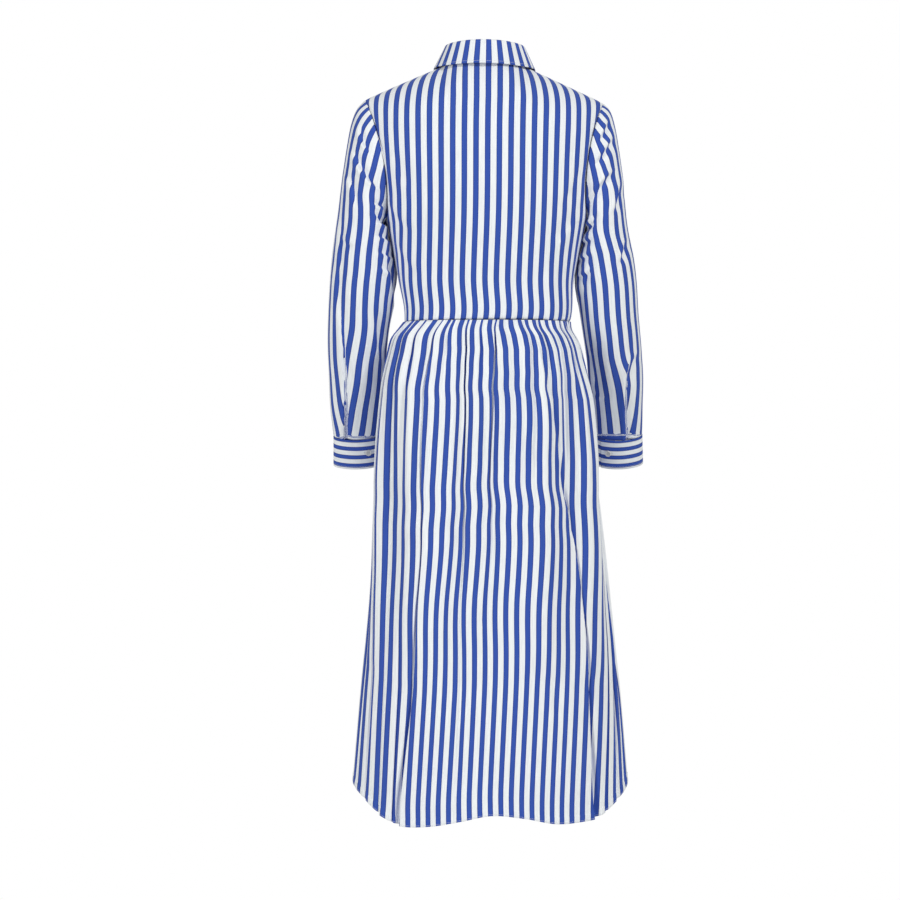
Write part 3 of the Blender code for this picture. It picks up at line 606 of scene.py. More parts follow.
@dataclass(frozen=True)
class StripedPoplin:
    """Cotton poplin, yarn-dyed in even stripes: matt, crisp, with a fine rib from its close warp.

    Attributes:
        name: the material's name.
        period: one blue and one white stripe, in metres.
        blue_share: the blue stripe's share of that.
        phase: how far the stripes are shifted, in periods.
    """

    name: str
    period: float = 0.0185
    blue_share: float = 0.487
    phase: float = 0.0
    blue: str = "#3757B2"
    deep_blue: str = "#213A90"
    white: str = "#F6FAFC"
    roughness: float = 0.82

    def material(self) -> bpy.types.Material:
        """Make the material: stripes and yarns read from the piece's cloth coordinates.

        Returns:
            The material.
        """
        material, tree, shader = new_material(
            self.name, Roughness=self.roughness, IOR=1.46, Specular_IOR_Level=0.25,
            Sheen_Weight=0.12, Sheen_Roughness=0.45)
        cloth = add_node(tree, "ShaderNodeUVMap", uv_map="cloth").outputs[0]
        parts = add_node(tree, "ShaderNodeSeparateXYZ", links={0: cloth})
        # The stripe is found by how far the place is from the middle of the nearest blue one.
        turns = add_node(tree, "ShaderNodeMath", {1: 1.0 / self.period, 2: self.phase},
                         {0: parts.outputs[0]}, operation="MULTIPLY_ADD")
        away = add_node(tree, "ShaderNodeMath", {1: 0.5}, {0: turns.outputs[0]},
                        operation="PINGPONG")
        # A yarn's width, 0.25 mm, is where blue turns to white.
        edge = 0.5 * self.blue_share
        soft = 0.5 * 0.00025 / self.period
        white_here = add_node(tree, "ShaderNodeMapRange", {1: edge - soft, 2: edge + soft},
                              {0: away.outputs[0]}, interpolation_type="SMOOTHSTEP")
        # The dye sits deepest in the last few blue yarns, 1 mm at each side of a stripe.
        deep_here = add_node(tree, "ShaderNodeMapRange",
                             {1: edge - 0.0016 / self.period, 2: edge - 0.0004 / self.period},
                             {0: away.outputs[0]}, interpolation_type="SMOOTHSTEP")
        blues = add_node(tree, "ShaderNodeMix", {6: linear(self.blue), 7: linear(self.deep_blue)},
                         {0: deep_here.outputs[0]}, data_type="RGBA")
        stripes = add_node(tree, "ShaderNodeMix", {7: linear(self.white)},
                           {0: white_here.outputs[0], 6: blues.outputs[2]}, data_type="RGBA")
        # Slubs: single yarns a little darker or lighter over 20 to 60 mm, drawn 0.7 mm wide so
        # that they show.
        stretched = add_node(tree, "ShaderNodeMapping", {3: (1400.0, 26.0, 1.0)}, {0: cloth})
        slubs = add_node(tree, "ShaderNodeTexNoise", {"Scale": 1.0, "Detail": 1.0},
                         {"Vector": stretched.outputs[0]}, noise_dimensions="2D")
        strength = add_node(tree, "ShaderNodeMapRange", {1: 0.3, 2: 0.7, 3: 0.93, 4: 1.05},
                            {0: slubs.outputs[0]})
        shaded = add_node(tree, "ShaderNodeVectorMath", links={0: stripes.outputs[2],
                                                               3: strength.outputs[0]},
                          operation="SCALE")
        tree.links.new(shaded.outputs[0], shader.inputs["Base Color"])
        # Plain weave: ribs of warp and weft 0.25 mm apart, drawn at 0.5 mm so that they show.
        ribs = [add_node(tree, "ShaderNodeMath", {1: 2.0 * math.pi / 0.0005}, {0: part},
                         operation="MULTIPLY") for part in parts.outputs[:2]]
        waves = [add_node(tree, "ShaderNodeMath", links={0: rib.outputs[0]}, operation="SINE")
                 for rib in ribs]
        weave = add_node(tree, "ShaderNodeMath", links={0: waves[0].outputs[0],
                                                        1: waves[1].outputs[0]},
                         operation="MULTIPLY")
        # Pressed cotton is never quite flat: soft dents 8 mm across.
        dents = add_node(tree, "ShaderNodeTexNoise", {"Scale": 120.0, "Detail": 2.0},
                         {"Vector": cloth}, noise_dimensions="2D")
        relief = add_node(tree, "ShaderNodeMath", {1: 0.03}, {0: weave.outputs[0],
                                                              2: dents.outputs[0]},
                          operation="MULTIPLY_ADD")
        bump = add_node(tree, "ShaderNodeBump", {"Strength": 0.35, "Distance": 0.0009},
                        {"Height": relief.outputs[0]})
        tree.links.new(bump.outputs[0], shader.inputs["Normal"])
        return material


@dataclass(frozen=True)
class MouldedButton:
    """Moulded polyester button: white, satin, a touch of grey where it was polished."""

    name: str = "moulded_polyester_button"
    colour: str = "#E9E9E4"
    shade: str = "#D8D9D6"
    roughness: float = 0.28

    def material(self) -> bpy.types.Material:
        """Make the material: faint cloudy shade 3 mm across in a satin body.

        Returns:
            The material.
        """
        material, tree, shader = new_material(self.name, Roughness=self.roughness, IOR=1.53)
        place = add_node(tree, "ShaderNodeTexCoord").outputs["Object"]
        cloud = add_node(tree, "ShaderNodeTexNoise", {"Scale": 330.0, "Detail": 2.0},
                         {"Vector": place})
        tint = add_node(tree, "ShaderNodeMix", {6: linear(self.colour), 7: linear(self.shade)},
                        {0: cloud.outputs[0]}, data_type="RGBA")
        tree.links.new(tint.outputs[2], shader.inputs["Base Color"])
        return material


@dataclass(frozen=True)
class SewingThread:
    """Spun polyester sewing thread: matt, plied, white."""

    name: str = "spun_polyester_thread"
    colour: str = "#DDE1E6"
    roughness: float = 0.7

    def material(self) -> bpy.types.Material:
        """Make the material: ply twist drawn as fine bands 0.6 mm apart in a matt body.

        Returns:
            The material.
        """
        material, tree, shader = new_material(self.name, Base_Color=linear(self.colour),
                                              Roughness=self.roughness)
        place = add_node(tree, "ShaderNodeTexCoord").outputs["Object"]
        plies = add_node(tree, "ShaderNodeTexWave", {"Scale": 260.0, "Distortion": 1.5},
                         {"Vector": place}, bands_direction="DIAGONAL")
        bump = add_node(tree, "ShaderNodeBump", {"Strength": 0.3, "Distance": 0.0002},
                        {"Height": plies.outputs[1]})
        tree.links.new(bump.outputs[0], shader.inputs["Normal"])
        return material


# ------------------------------------------------------------------ stitches


# A stitch's four rings: the share of the way along it, and the ring's share of full thickness.
STITCH_RINGS = ((0.0, 0.35), (0.2, 1.0), (0.8, 1.0), (1.0, 0.35))
THREAD_SIDES = 6
# Each end of a bead, a ring of six, is closed by two faces of four corners.
STITCH_ENDS = ((0, 5, 4, 3), (0, 3, 2, 1), (18, 19, 20, 21), (18, 21, 22, 23))
# The full rings ride a little over the cloth and the ends dip into it, in shares of the radius.
STITCH_RIDES, STITCH_DIPS = 0.4, -0.2


def stitch_line(name: str, path: Array, normals: Array, finish: bpy.types.Material,
                pitch: float = 0.0026, length: float = 0.0020, half_width: float = 0.00022
                ) -> bpy.types.Object:
    """Lay a line of machine stitches along a path.

    Each stitch is a six-sided bead, thin at both ends, that dips into the cloth there.

    Args:
        name: the piece's name.
        path: points along the line, on the cloth's outer face.
        normals: the outward normal at each point.
        finish: the thread's material.
        pitch: from one stitch to the next.
        length: one stitch's length.
        half_width: the thread's radius.

    Returns:
        The piece.
    """
    distance = running_length(np.linalg.norm(np.diff(path, axis=0), axis=-1), 0)
    middle = np.arange(0.5 * pitch, distance[-1] - 0.5 * pitch, pitch)

    start, end = (read_columns(middle + 0.5 * way * length, distance, path) for way in (-1, 1))
    up = unit(read_columns(middle, distance, normals))
    along = end - start
    aside = unit(np.cross(along, up))
    turn = np.arange(THREAD_SIDES) * math.pi / 3.0
    rim = aside[:, None] * np.cos(turn)[:, None] + up[:, None] * np.sin(turn)[:, None]
    rings = []
    for share, swell in STITCH_RINGS:
        lift = up * half_width * (STITCH_RIDES if swell == 1.0 else STITCH_DIPS)
        rings.append((start + along * share + lift)[:, None] + rim * half_width * swell)
    points = np.stack(rings, axis=1)
    faces = np.concatenate([tube_faces(len(rings), THREAD_SIDES), STITCH_ENDS])
    first = np.arange(len(middle)) * len(rings) * THREAD_SIDES
    loops = (faces[None] + first[:, None, None]).reshape(-1)
    mesh = mesh_from_arrays(name, points.reshape(-1, 3), loops, 4)
    turn_out(mesh)
    return link_piece(name, mesh, finish)


def turn_out(mesh: bpy.types.Mesh) -> None:
    """Recalculate a closed mesh's normals so that its faces point out.

    Args:
        mesh: the closed mesh, changed in place.
    """
    work = bmesh.new()
    work.from_mesh(mesh)
    bmesh.ops.recalc_face_normals(work, faces=work.faces)
    work.to_mesh(mesh)
    work.free()
    mesh.shade_smooth()


def join_pieces(name: str, pieces: Sequence[bpy.types.Object]) -> bpy.types.Object:
    """Put the meshes of several pieces into one piece and remove them.

    Args:
        name: the joined piece's name.
        pieces: the pieces.

    Returns:
        The joined piece, with the first one's materials.
    """
    work = bmesh.new()
    for piece in pieces:
        work.from_mesh(piece.data)
    mesh = mesh_of(work, name)
    finishes = list(pieces[0].data.materials)
    for piece in pieces:
        bpy.data.objects.remove(piece)
    mesh.shade_smooth()
    return link_piece(name, mesh, *finishes)


def line_on(grid: ClothGrid, row: Optional[float] = None, column: Optional[float] = None
            ) -> tuple[Array, Array]:
    """Give the points and normals of a line along a grid at a row or column that may be a fraction.

    Args:
        grid: the cloth.
        row: the row to follow, counted from 0.
        column: the column to follow instead.

    Returns:
        Points and outward normals along the line.
    """
    points, normals = grid.points, grid.normals()
    if row is None:
        points, normals = points.swapaxes(0, 1), normals.swapaxes(0, 1)
        row = column
    i = min(int(row), len(points) - 2)
    f = row - i
    line = points[i] * (1.0 - f) + points[i + 1] * f
    facing = unit(normals[i] * (1.0 - f) + normals[i + 1] * f)
    return line, facing


def index_at(distance: Array, at: float) -> float:
    """Find the fractional index where a rising distance reaches a value."""
    return float(np.interp(at, distance, np.arange(len(distance))))


# ------------------------------------------------------------------ bodice


class TorsoSection(NamedTuple):
    """The body's depth behind and in front of the side seams at a height."""

    z: float
    back: float
    front: float


TORSO = table(
    TorsoSection,
    (-0.4, 0.078, 0.112), (-0.35, 0.082, 0.117), (-0.3, 0.09, 0.125), (-0.245, 0.099, 0.128),
    (-0.2, 0.104, 0.122), (-0.15, 0.104, 0.106), (-0.1, 0.098, 0.084), (-0.058, 0.087, 0.062),
    (-0.03, 0.076, 0.056), (0.005, 0.056, 0.05),
)


class SideSeam(NamedTuple):
    """The bodice's half width at its side seam at a height."""

    z: float
    half_width: float


SIDE_SEAM = table(
    SideSeam,
    (-0.4, 0.1325), (-0.365, 0.136), (-0.333, 0.1405), (-0.3, 0.1475), (-0.27, 0.154),
    (-0.245, 0.16),
)


@dataclass
class BodyForm:
    """The bodice's form: armholes, side seams, shoulders and the arch of each row."""

    neck_half_width: float = 0.066
    neck_back_depth: float = 0.056
    neck_front_depth: float = 0.062
    neck_side_z: float = 0.009
    neck_back_rise: float = 0.003
    neck_front_drop: float = 0.066
    shoulder_half_width: float = 0.1905
    shoulder_z: float = -0.048
    shoulder_rounding: float = 0.070
    underarm_half_width: float = 0.160
    underarm_z: float = -0.245
    armhole_half_depth: float = 0.056
    armhole_hollow: float = 0.014
    armhole_share: float = 0.62
    arch_squareness: float = 2.4
    arch_power_top: float = 1.3
    arch_power_low: float = 2.4
    arch_start: float = 0.30
    arch_end: float = 0.65
    flat_edge_share: float = 0.85

    def armhole(self, side: float, angle: Array, facing: float) -> Array:
        """Give armhole points; angle 0 is the shoulder tip and pi the underarm.

        The armhole is an ellipse seen from the side, hollowed towards the neck by a sine squared.

        Args:
            side: 1 for the left armhole, -1 for the right.
            angle: angles round it.
            facing: the sign of Y of the half at angles up to pi.

        Returns:
            The points.
        """
        middle_x = 0.5 * (self.shoulder_half_width + self.underarm_half_width)
        half_x = 0.5 * (self.shoulder_half_width - self.underarm_half_width)
        middle_z = 0.5 * (self.shoulder_z + self.underarm_z)
        half_z = 0.5 * (self.shoulder_z - self.underarm_z)
        x = middle_x + half_x * np.cos(angle) - self.armhole_hollow * np.sin(angle) ** 2
        y = facing * self.armhole_half_depth * np.sin(angle)
        return np.stack([side * x, y, middle_z + half_z * np.cos(angle)], axis=-1)

    def edge(self, down: Array, facing: float) -> Array:
        """Give the half panel's outer edge on +X: down the armhole, then down the side seam.

        Args:
            down: shares down the panel, 0 to 1.
            facing: the way the panel faces, as the sign of Y.

        Returns:
            The edge's points.
        """
        share = self.armhole_share
        on_arm = self.armhole(1.0, math.pi * np.clip(down / share, 0.0, 1.0), facing)
        seam_z = self.underarm_z + (WAIST_Z - self.underarm_z) * (down - share) / (1.0 - share)
        (half_width,) = curves(seam_z, SIDE_SEAM)
        on_seam = np.stack([half_width, 0.0 * seam_z, seam_z], axis=-1)
        return np.where((down <= share)[..., None], on_arm, on_seam)

    def top(self, x: Array, facing: float) -> tuple[Array, Array]:
        """Give the depth and height of the shoulder seam and neckline above a place x on +X.

        Args:
            x: distances from the centre line.
            facing: the way the panel faces, as the sign of Y.

        Returns:
            Depths along Y, without a sign, and heights.
        """
        share = np.clip(1.0 - (x / self.neck_half_width) ** 2, 0.0, 1.0)
        slope = (x - self.neck_half_width) / (self.shoulder_half_width - self.neck_half_width)
        fall = (self.shoulder_z - self.neck_side_z) * np.clip(slope, 0.0, 1.0)
        depth = self.neck_back_depth if facing > 0 else self.neck_front_depth
        drop = -self.neck_back_rise if facing > 0 else self.neck_front_drop
        return depth * np.sqrt(share), self.neck_side_z + fall - drop * share

    def arch(self, share: Array, z: Array, edge_y: Array, power: Array, facing: float) -> Array:
        """Give the depth of the body's arch, a squarer ellipse, at a share from centre to edge.

        Args:
            share: shares from the centre line to the edge.
            z: heights.
            edge_y: the edge's depth.
            power: how full the arch is towards its edge.
            facing: the way the panel faces, as the sign of Y.

        Returns:
            Depths along Y, without a sign.
        """
        back, front = curves(z, TORSO)
        centre_y = back if facing > 0 else front
        lift = np.clip(1.0 - share ** self.arch_squareness, 0.0, 1.0) ** (1.0 / power)
        return edge_y + (centre_y - edge_y) * lift

    def rounding(self, down: Array) -> Array:
        """Give how far a row has gone from the flat shoulder form to the full arch."""
        return ease((down - self.arch_start) / (self.arch_end - self.arch_start))

    def points(self, across: Array, down: Array, facing: float) -> Array:
        """Give the bodice's points from the shares across, -1 to 1, and down, 0 to 1.

        Each row swells from its edge to the centre line as a rounded arch, and below the shoulder
        ridge, which runs on through the neck, the panel turns into the arch over a quarter round.

        Args:
            across: shares across, from -1 at the right edge to 1 at the left.
            down: shares down, 0 to 1.
            facing: the way the panel faces, as the sign of Y.

        Returns:
            The points.
        """
        across, down = np.broadcast_arrays(np.asarray(across, float), np.asarray(down, float))
        side = np.where(across < 0.0, -1.0, 1.0)
        share = np.abs(across)
        edge = self.edge(down, facing)
        rounding = self.rounding(down)
        share_x = (1.0 - rounding) * share + rounding * np.sin(share * math.pi / 2.0)
        x = edge[..., 0] * share_x
        top_y, top_z = self.top(share * self.shoulder_half_width, facing)
        edge_down = (self.shoulder_z - edge[..., 2]) / (self.shoulder_z - WAIST_Z)
        row_down = down + (edge_down - down) * share ** 2
        z = top_z + (WAIST_Z - top_z) * row_down
        power = self.arch_power_top + (self.arch_power_low - self.arch_power_top) * rounding
        edge_turn = quarter_turn((self.shoulder_z - edge[..., 2]) / self.shoulder_rounding)
        flat_edge = self.flat_edge_share * self.armhole_half_depth
        edge_y = np.abs(edge[..., 1]) / np.maximum(edge_turn, 1e-3)
        edge_y = np.where(edge_turn > 1e-3, edge_y, flat_edge)
        full_y = self.arch(share_x, z, edge_y, power, facing)
        top_full_y = self.arch(share, top_z, flat_edge, self.arch_power_top, facing)
        start = 1.0 - np.sqrt(1.0 - np.clip(top_y / top_full_y, 0.0, 1.0) ** 2)
        y = full_y * quarter_turn((top_z - z) / self.shoulder_rounding + start)
        return np.stack([side * x, facing * y, z], axis=-1)

    def share_at(self, x: float, down: Array) -> Array:
        """Give the share across that lies a small distance x from the centre line on each row."""
        grow = 1.0 + self.rounding(down) * (0.5 * math.pi - 1.0)
        return x / (self.edge(down, -1.0)[..., 0] * grow)


BACK_CREASES = table(
    Crease,
    (0.15, -0.13, 0.118, -0.205, 0.01, -0.0016, 0.0, 0.004, 0.0),
    (0.158, -0.2, 0.112, -0.262, 0.011, 0.0018, 0.0, 0.006, 0.0),
    (0.146, -0.262, 0.1, -0.33, 0.012, 0.0016, 0.0, 0.005, 0.0),
    (-0.15, -0.15, -0.112, -0.232, 0.011, -0.0016, 0.0, -0.004, 0.0),
    (-0.152, -0.215, -0.1, -0.292, 0.012, 0.0018, 0.0, -0.006, 0.0),
    (0.03, -0.3, 0.026, -0.398, 0.01, 0.0014, 0.0, 0.002, 1.0),
    (-0.042, -0.318, -0.046, -0.398, 0.01, -0.0016, 0.0, 0.002, 1.0),
    (0.084, -0.31, 0.09, -0.398, 0.011, 0.0016, 0.0, 0.002, 1.0),
    (-0.092, -0.306, -0.096, -0.398, 0.011, 0.0016, 0.0, -0.002, 1.0),
)
FRONT_CREASES = table(
    Crease,
    (0.15, -0.17, 0.085, -0.232, 0.011, 0.002, 0.0, 0.005, 0.0),
    (0.148, -0.238, 0.078, -0.29, 0.012, -0.002, 0.0, 0.004, 0.0),
    (-0.15, -0.18, -0.08, -0.236, 0.011, 0.002, 0.0, -0.005, 0.0),
    (-0.146, -0.244, -0.07, -0.3, 0.012, -0.002, 0.0, -0.004, 0.0),
    (0.07, -0.3, 0.064, -0.398, 0.011, 0.0018, 0.0, 0.002, 1.0),
    (-0.066, -0.296, -0.062, -0.398, 0.011, 0.0018, 0.0, -0.002, 1.0),
    (0.11, -0.12, 0.06, -0.175, 0.012, -0.0014, 0.0, 0.003, 0.0),
    (-0.112, -0.118, -0.058, -0.18, 0.012, -0.0014, 0.0, -0.003, 0.0),
)


@dataclass
class Bodice:
    """The bodice: a back panel, two fronts and the button band that lies on them."""

    form: BodyForm
    cotton: bpy.types.Material
    thread: bpy.types.Material
    cloth_thickness: float = 0.0006
    band_half_width: float = 0.0155
    band_top_share: float = 0.08
    solid_armhole_rows: float = 9.0
    band_drop_share: float = 0.05
    band_columns: int = 13
    underlap: float = 0.0130
    rows: int = 112
    columns: int = 61
    band_rows: int = 150
    taper: float = 0.045
    off_grain: tuple[float, float] = (0.0055, -0.0039)
    off_grain_between: tuple[float, float] = (0.05, 0.36)
    flat_back: tuple[float, float] = (0.44, 0.43)
    flat_front_left: tuple[float, float] = (0.25, 0.42)
    flat_front_right: tuple[float, float] = (0.22, 0.42)
    flat_band: tuple[float, float] = (0.031, 0.357)
    shaped_share: float = 0.84
    grids: dict[str, ClothGrid] = field(default_factory=dict)

    def cloth_coordinates(self, points: Array, middle: Array) -> Array:
        """Unroll a panel: across is the level length from the centre line, down the fall of Z.

        Args:
            points: the panel's points.
            middle: the place in each row, as a fractional column, of the centre line.

        Returns:
            The flat coordinates.
        """
        level = np.linalg.norm(np.diff(points[..., :2], axis=1), axis=-1)
        across = running_length(level, 1)
        columns = np.arange(points.shape[1])
        start = np.array([np.interp(m, columns, row) for m, row in zip(middle, across)])
        return np.stack([across - start[:, None], -points[..., 2]], axis=-1)

    def panel(self, name: str, across: Array, facing: Facing, seams: str,
              creases: Sequence[Crease], cut: tuple[float, float]) -> None:
        """Build one panel.

        Args:
            name: the CAD node that the panel stands for.
            across: shares across, rows by columns.
            facing: the way it faces.
            seams: its sewn edges, as ClothGrid.dip_at_seams reads them.
            creases: the creases that lie on it.
            cut: the flat panel's width and length in metres; not used.
        """
        down = np.linspace(0.0, 1.0, self.rows)[:, None]
        flat = self.form.points(across, down, facing.value)
        flat[0, :, 2] -= 0.5 * SEAM_GAP
        flat[-1, :, 2] = WAIST_Z + 0.5 * SEAM_GAP
        flat[..., 1] = facing.value * np.maximum(facing.value * flat[..., 1], 0.5 * SEAM_GAP)
        columns = np.arange(across.shape[1])
        rising = across if across[0, -1] > across[0, 0] else -across
        middle = np.array([np.interp(0.0, row, columns) for row in rising])
        beyond = np.where(np.abs(across).min(axis=1) > 1e-6, 1.0, 0.0)
        cloth = self.cloth_coordinates(flat, middle)
        nearest = np.abs(across).argmin(axis=1)
        gap = np.array([flat[i, n, 0] - cloth[i, n, 0] for i, n in enumerate(nearest)])
        cloth[..., 0] += (gap * beyond)[:, None]
        if facing is Facing.BACK:
            cloth[..., 0] *= 1.0 + self.taper * down
            cloth[..., 0] += np.interp(-flat[..., 2], self.off_grain_between, self.off_grain)
        grid = ClothGrid(posed(flat), cloth, body_axis(flat))
        grid.crease(creases, np.ones(flat.shape[:2]))
        grid.dip_at_seams(seams)
        self.grids[name] = grid
        piece = grid.build(name + "_cloth", self.cloth_thickness, self.cotton)
        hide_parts(name)

    def build(self) -> None:
        """Build the panels, the band and the band's stitching."""
        half = np.linspace(0.0, 1.0, self.columns)
        rows = np.linspace(0.0, 1.0, self.rows)[:, None]
        back = np.repeat(np.concatenate([-half[:0:-1], half])[None], self.rows, axis=0)
        self.panel("bodice_back", back, Facing.BACK, "tbfl", BACK_CREASES, self.flat_back)
        lap = self.form.share_at(self.underlap, rows)
        left = -lap + (1.0 + lap) * half[None]
        self.panel("bodice_front_left", left, Facing.FRONT, "tbl", FRONT_CREASES,
                   self.flat_front_left)
        start = self.form.share_at(self.underlap + 2.0 * SEAM_GAP, rows)
        right = -(start + (1.0 - start) * half[None])[:, ::-1]
        self.panel("bodice_front_right", right, Facing.FRONT, "tbf", FRONT_CREASES,
                   self.flat_front_right)
        self.build_band()

    def build_band(self) -> None:
        """Lay the button band on the fronts, made from their points moved out."""
        down = np.linspace(0.0, 1.0, self.band_rows)[:, None]
        share = self.form.share_at(self.band_half_width, down)
        across = share * np.linspace(-1.0, 1.0, self.band_columns)[None]
        under = self.form.points(across, down, -1.0)
        # Like the solid's, the band starts a share of the solid's first row below the neckline.
        start = self.band_top_share / self.solid_armhole_rows * self.form.armhole_share
        first = self.form.points(across[:1], down[:1] + start, -1.0)
        drop = np.clip(1.0 - down / self.band_drop_share, 0.0, 1.0)
        under = under + drop[..., None] * (first - under[:1])
        under[-1, :, 2] = WAIST_Z + 0.5 * SEAM_GAP
        middle = 0.5 * (self.band_columns - 1)
        cloth = self.cloth_coordinates(under, np.full(self.band_rows, middle))
        grid = ClothGrid(posed(under), cloth, body_axis(under))
        grid.raise_by(np.full(under.shape[:2], CAD_CLOTH + SEAM_GAP))
        grid.points[-1, :, 2] = WAIST_Z + 0.5 * SEAM_GAP
        self.grids["placket_bodice"] = grid
        finish_band("placket_bodice", grid, self.cotton, self.thread)


BAND_WALL = 0.0010
BAND_LINE_SHARES = (0.1, 0.9)


def finish_band(node: str, grid: ClothGrid, cotton: bpy.types.Material,
                thread: bpy.types.Material) -> None:
    """Build a button band's cloth and its two lines of stitches, 3 mm from its edges.

    Args:
        node: the CAD node that it stands for.
        grid: the band's outer face.
        cotton: the cloth's material.
        thread: the thread's material.
    """
    piece = grid.build(node + "_cloth", BAND_WALL, cotton)
    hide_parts(node)
    last = grid.points.shape[1] - 1
    lines = [stitch_line(f"{node}_line_{k}", *line_on(grid, column=place), thread)
             for k, place in enumerate([share * last for share in BAND_LINE_SHARES])]
    stitches = join_pieces(node + "_stitches", lines)


# ------------------------------------------------------------------ collar


class FallSection(NamedTuple):
    """The fall's flare from straight down, its heading round the neck and its depth."""

    angle: float
    flare: float
    heading: float
    depth: float


FALL = table(
    FallSection,
    (0.0, 16.0, 0.0, 0.0385), (45.0, 19.0, 45.0, 0.0385), (90.0, 26.0, 90.0, 0.038),
    (130.0, 35.0, 111.0, 0.046), (170.0, 29.0, 130.0, 0.068),
)


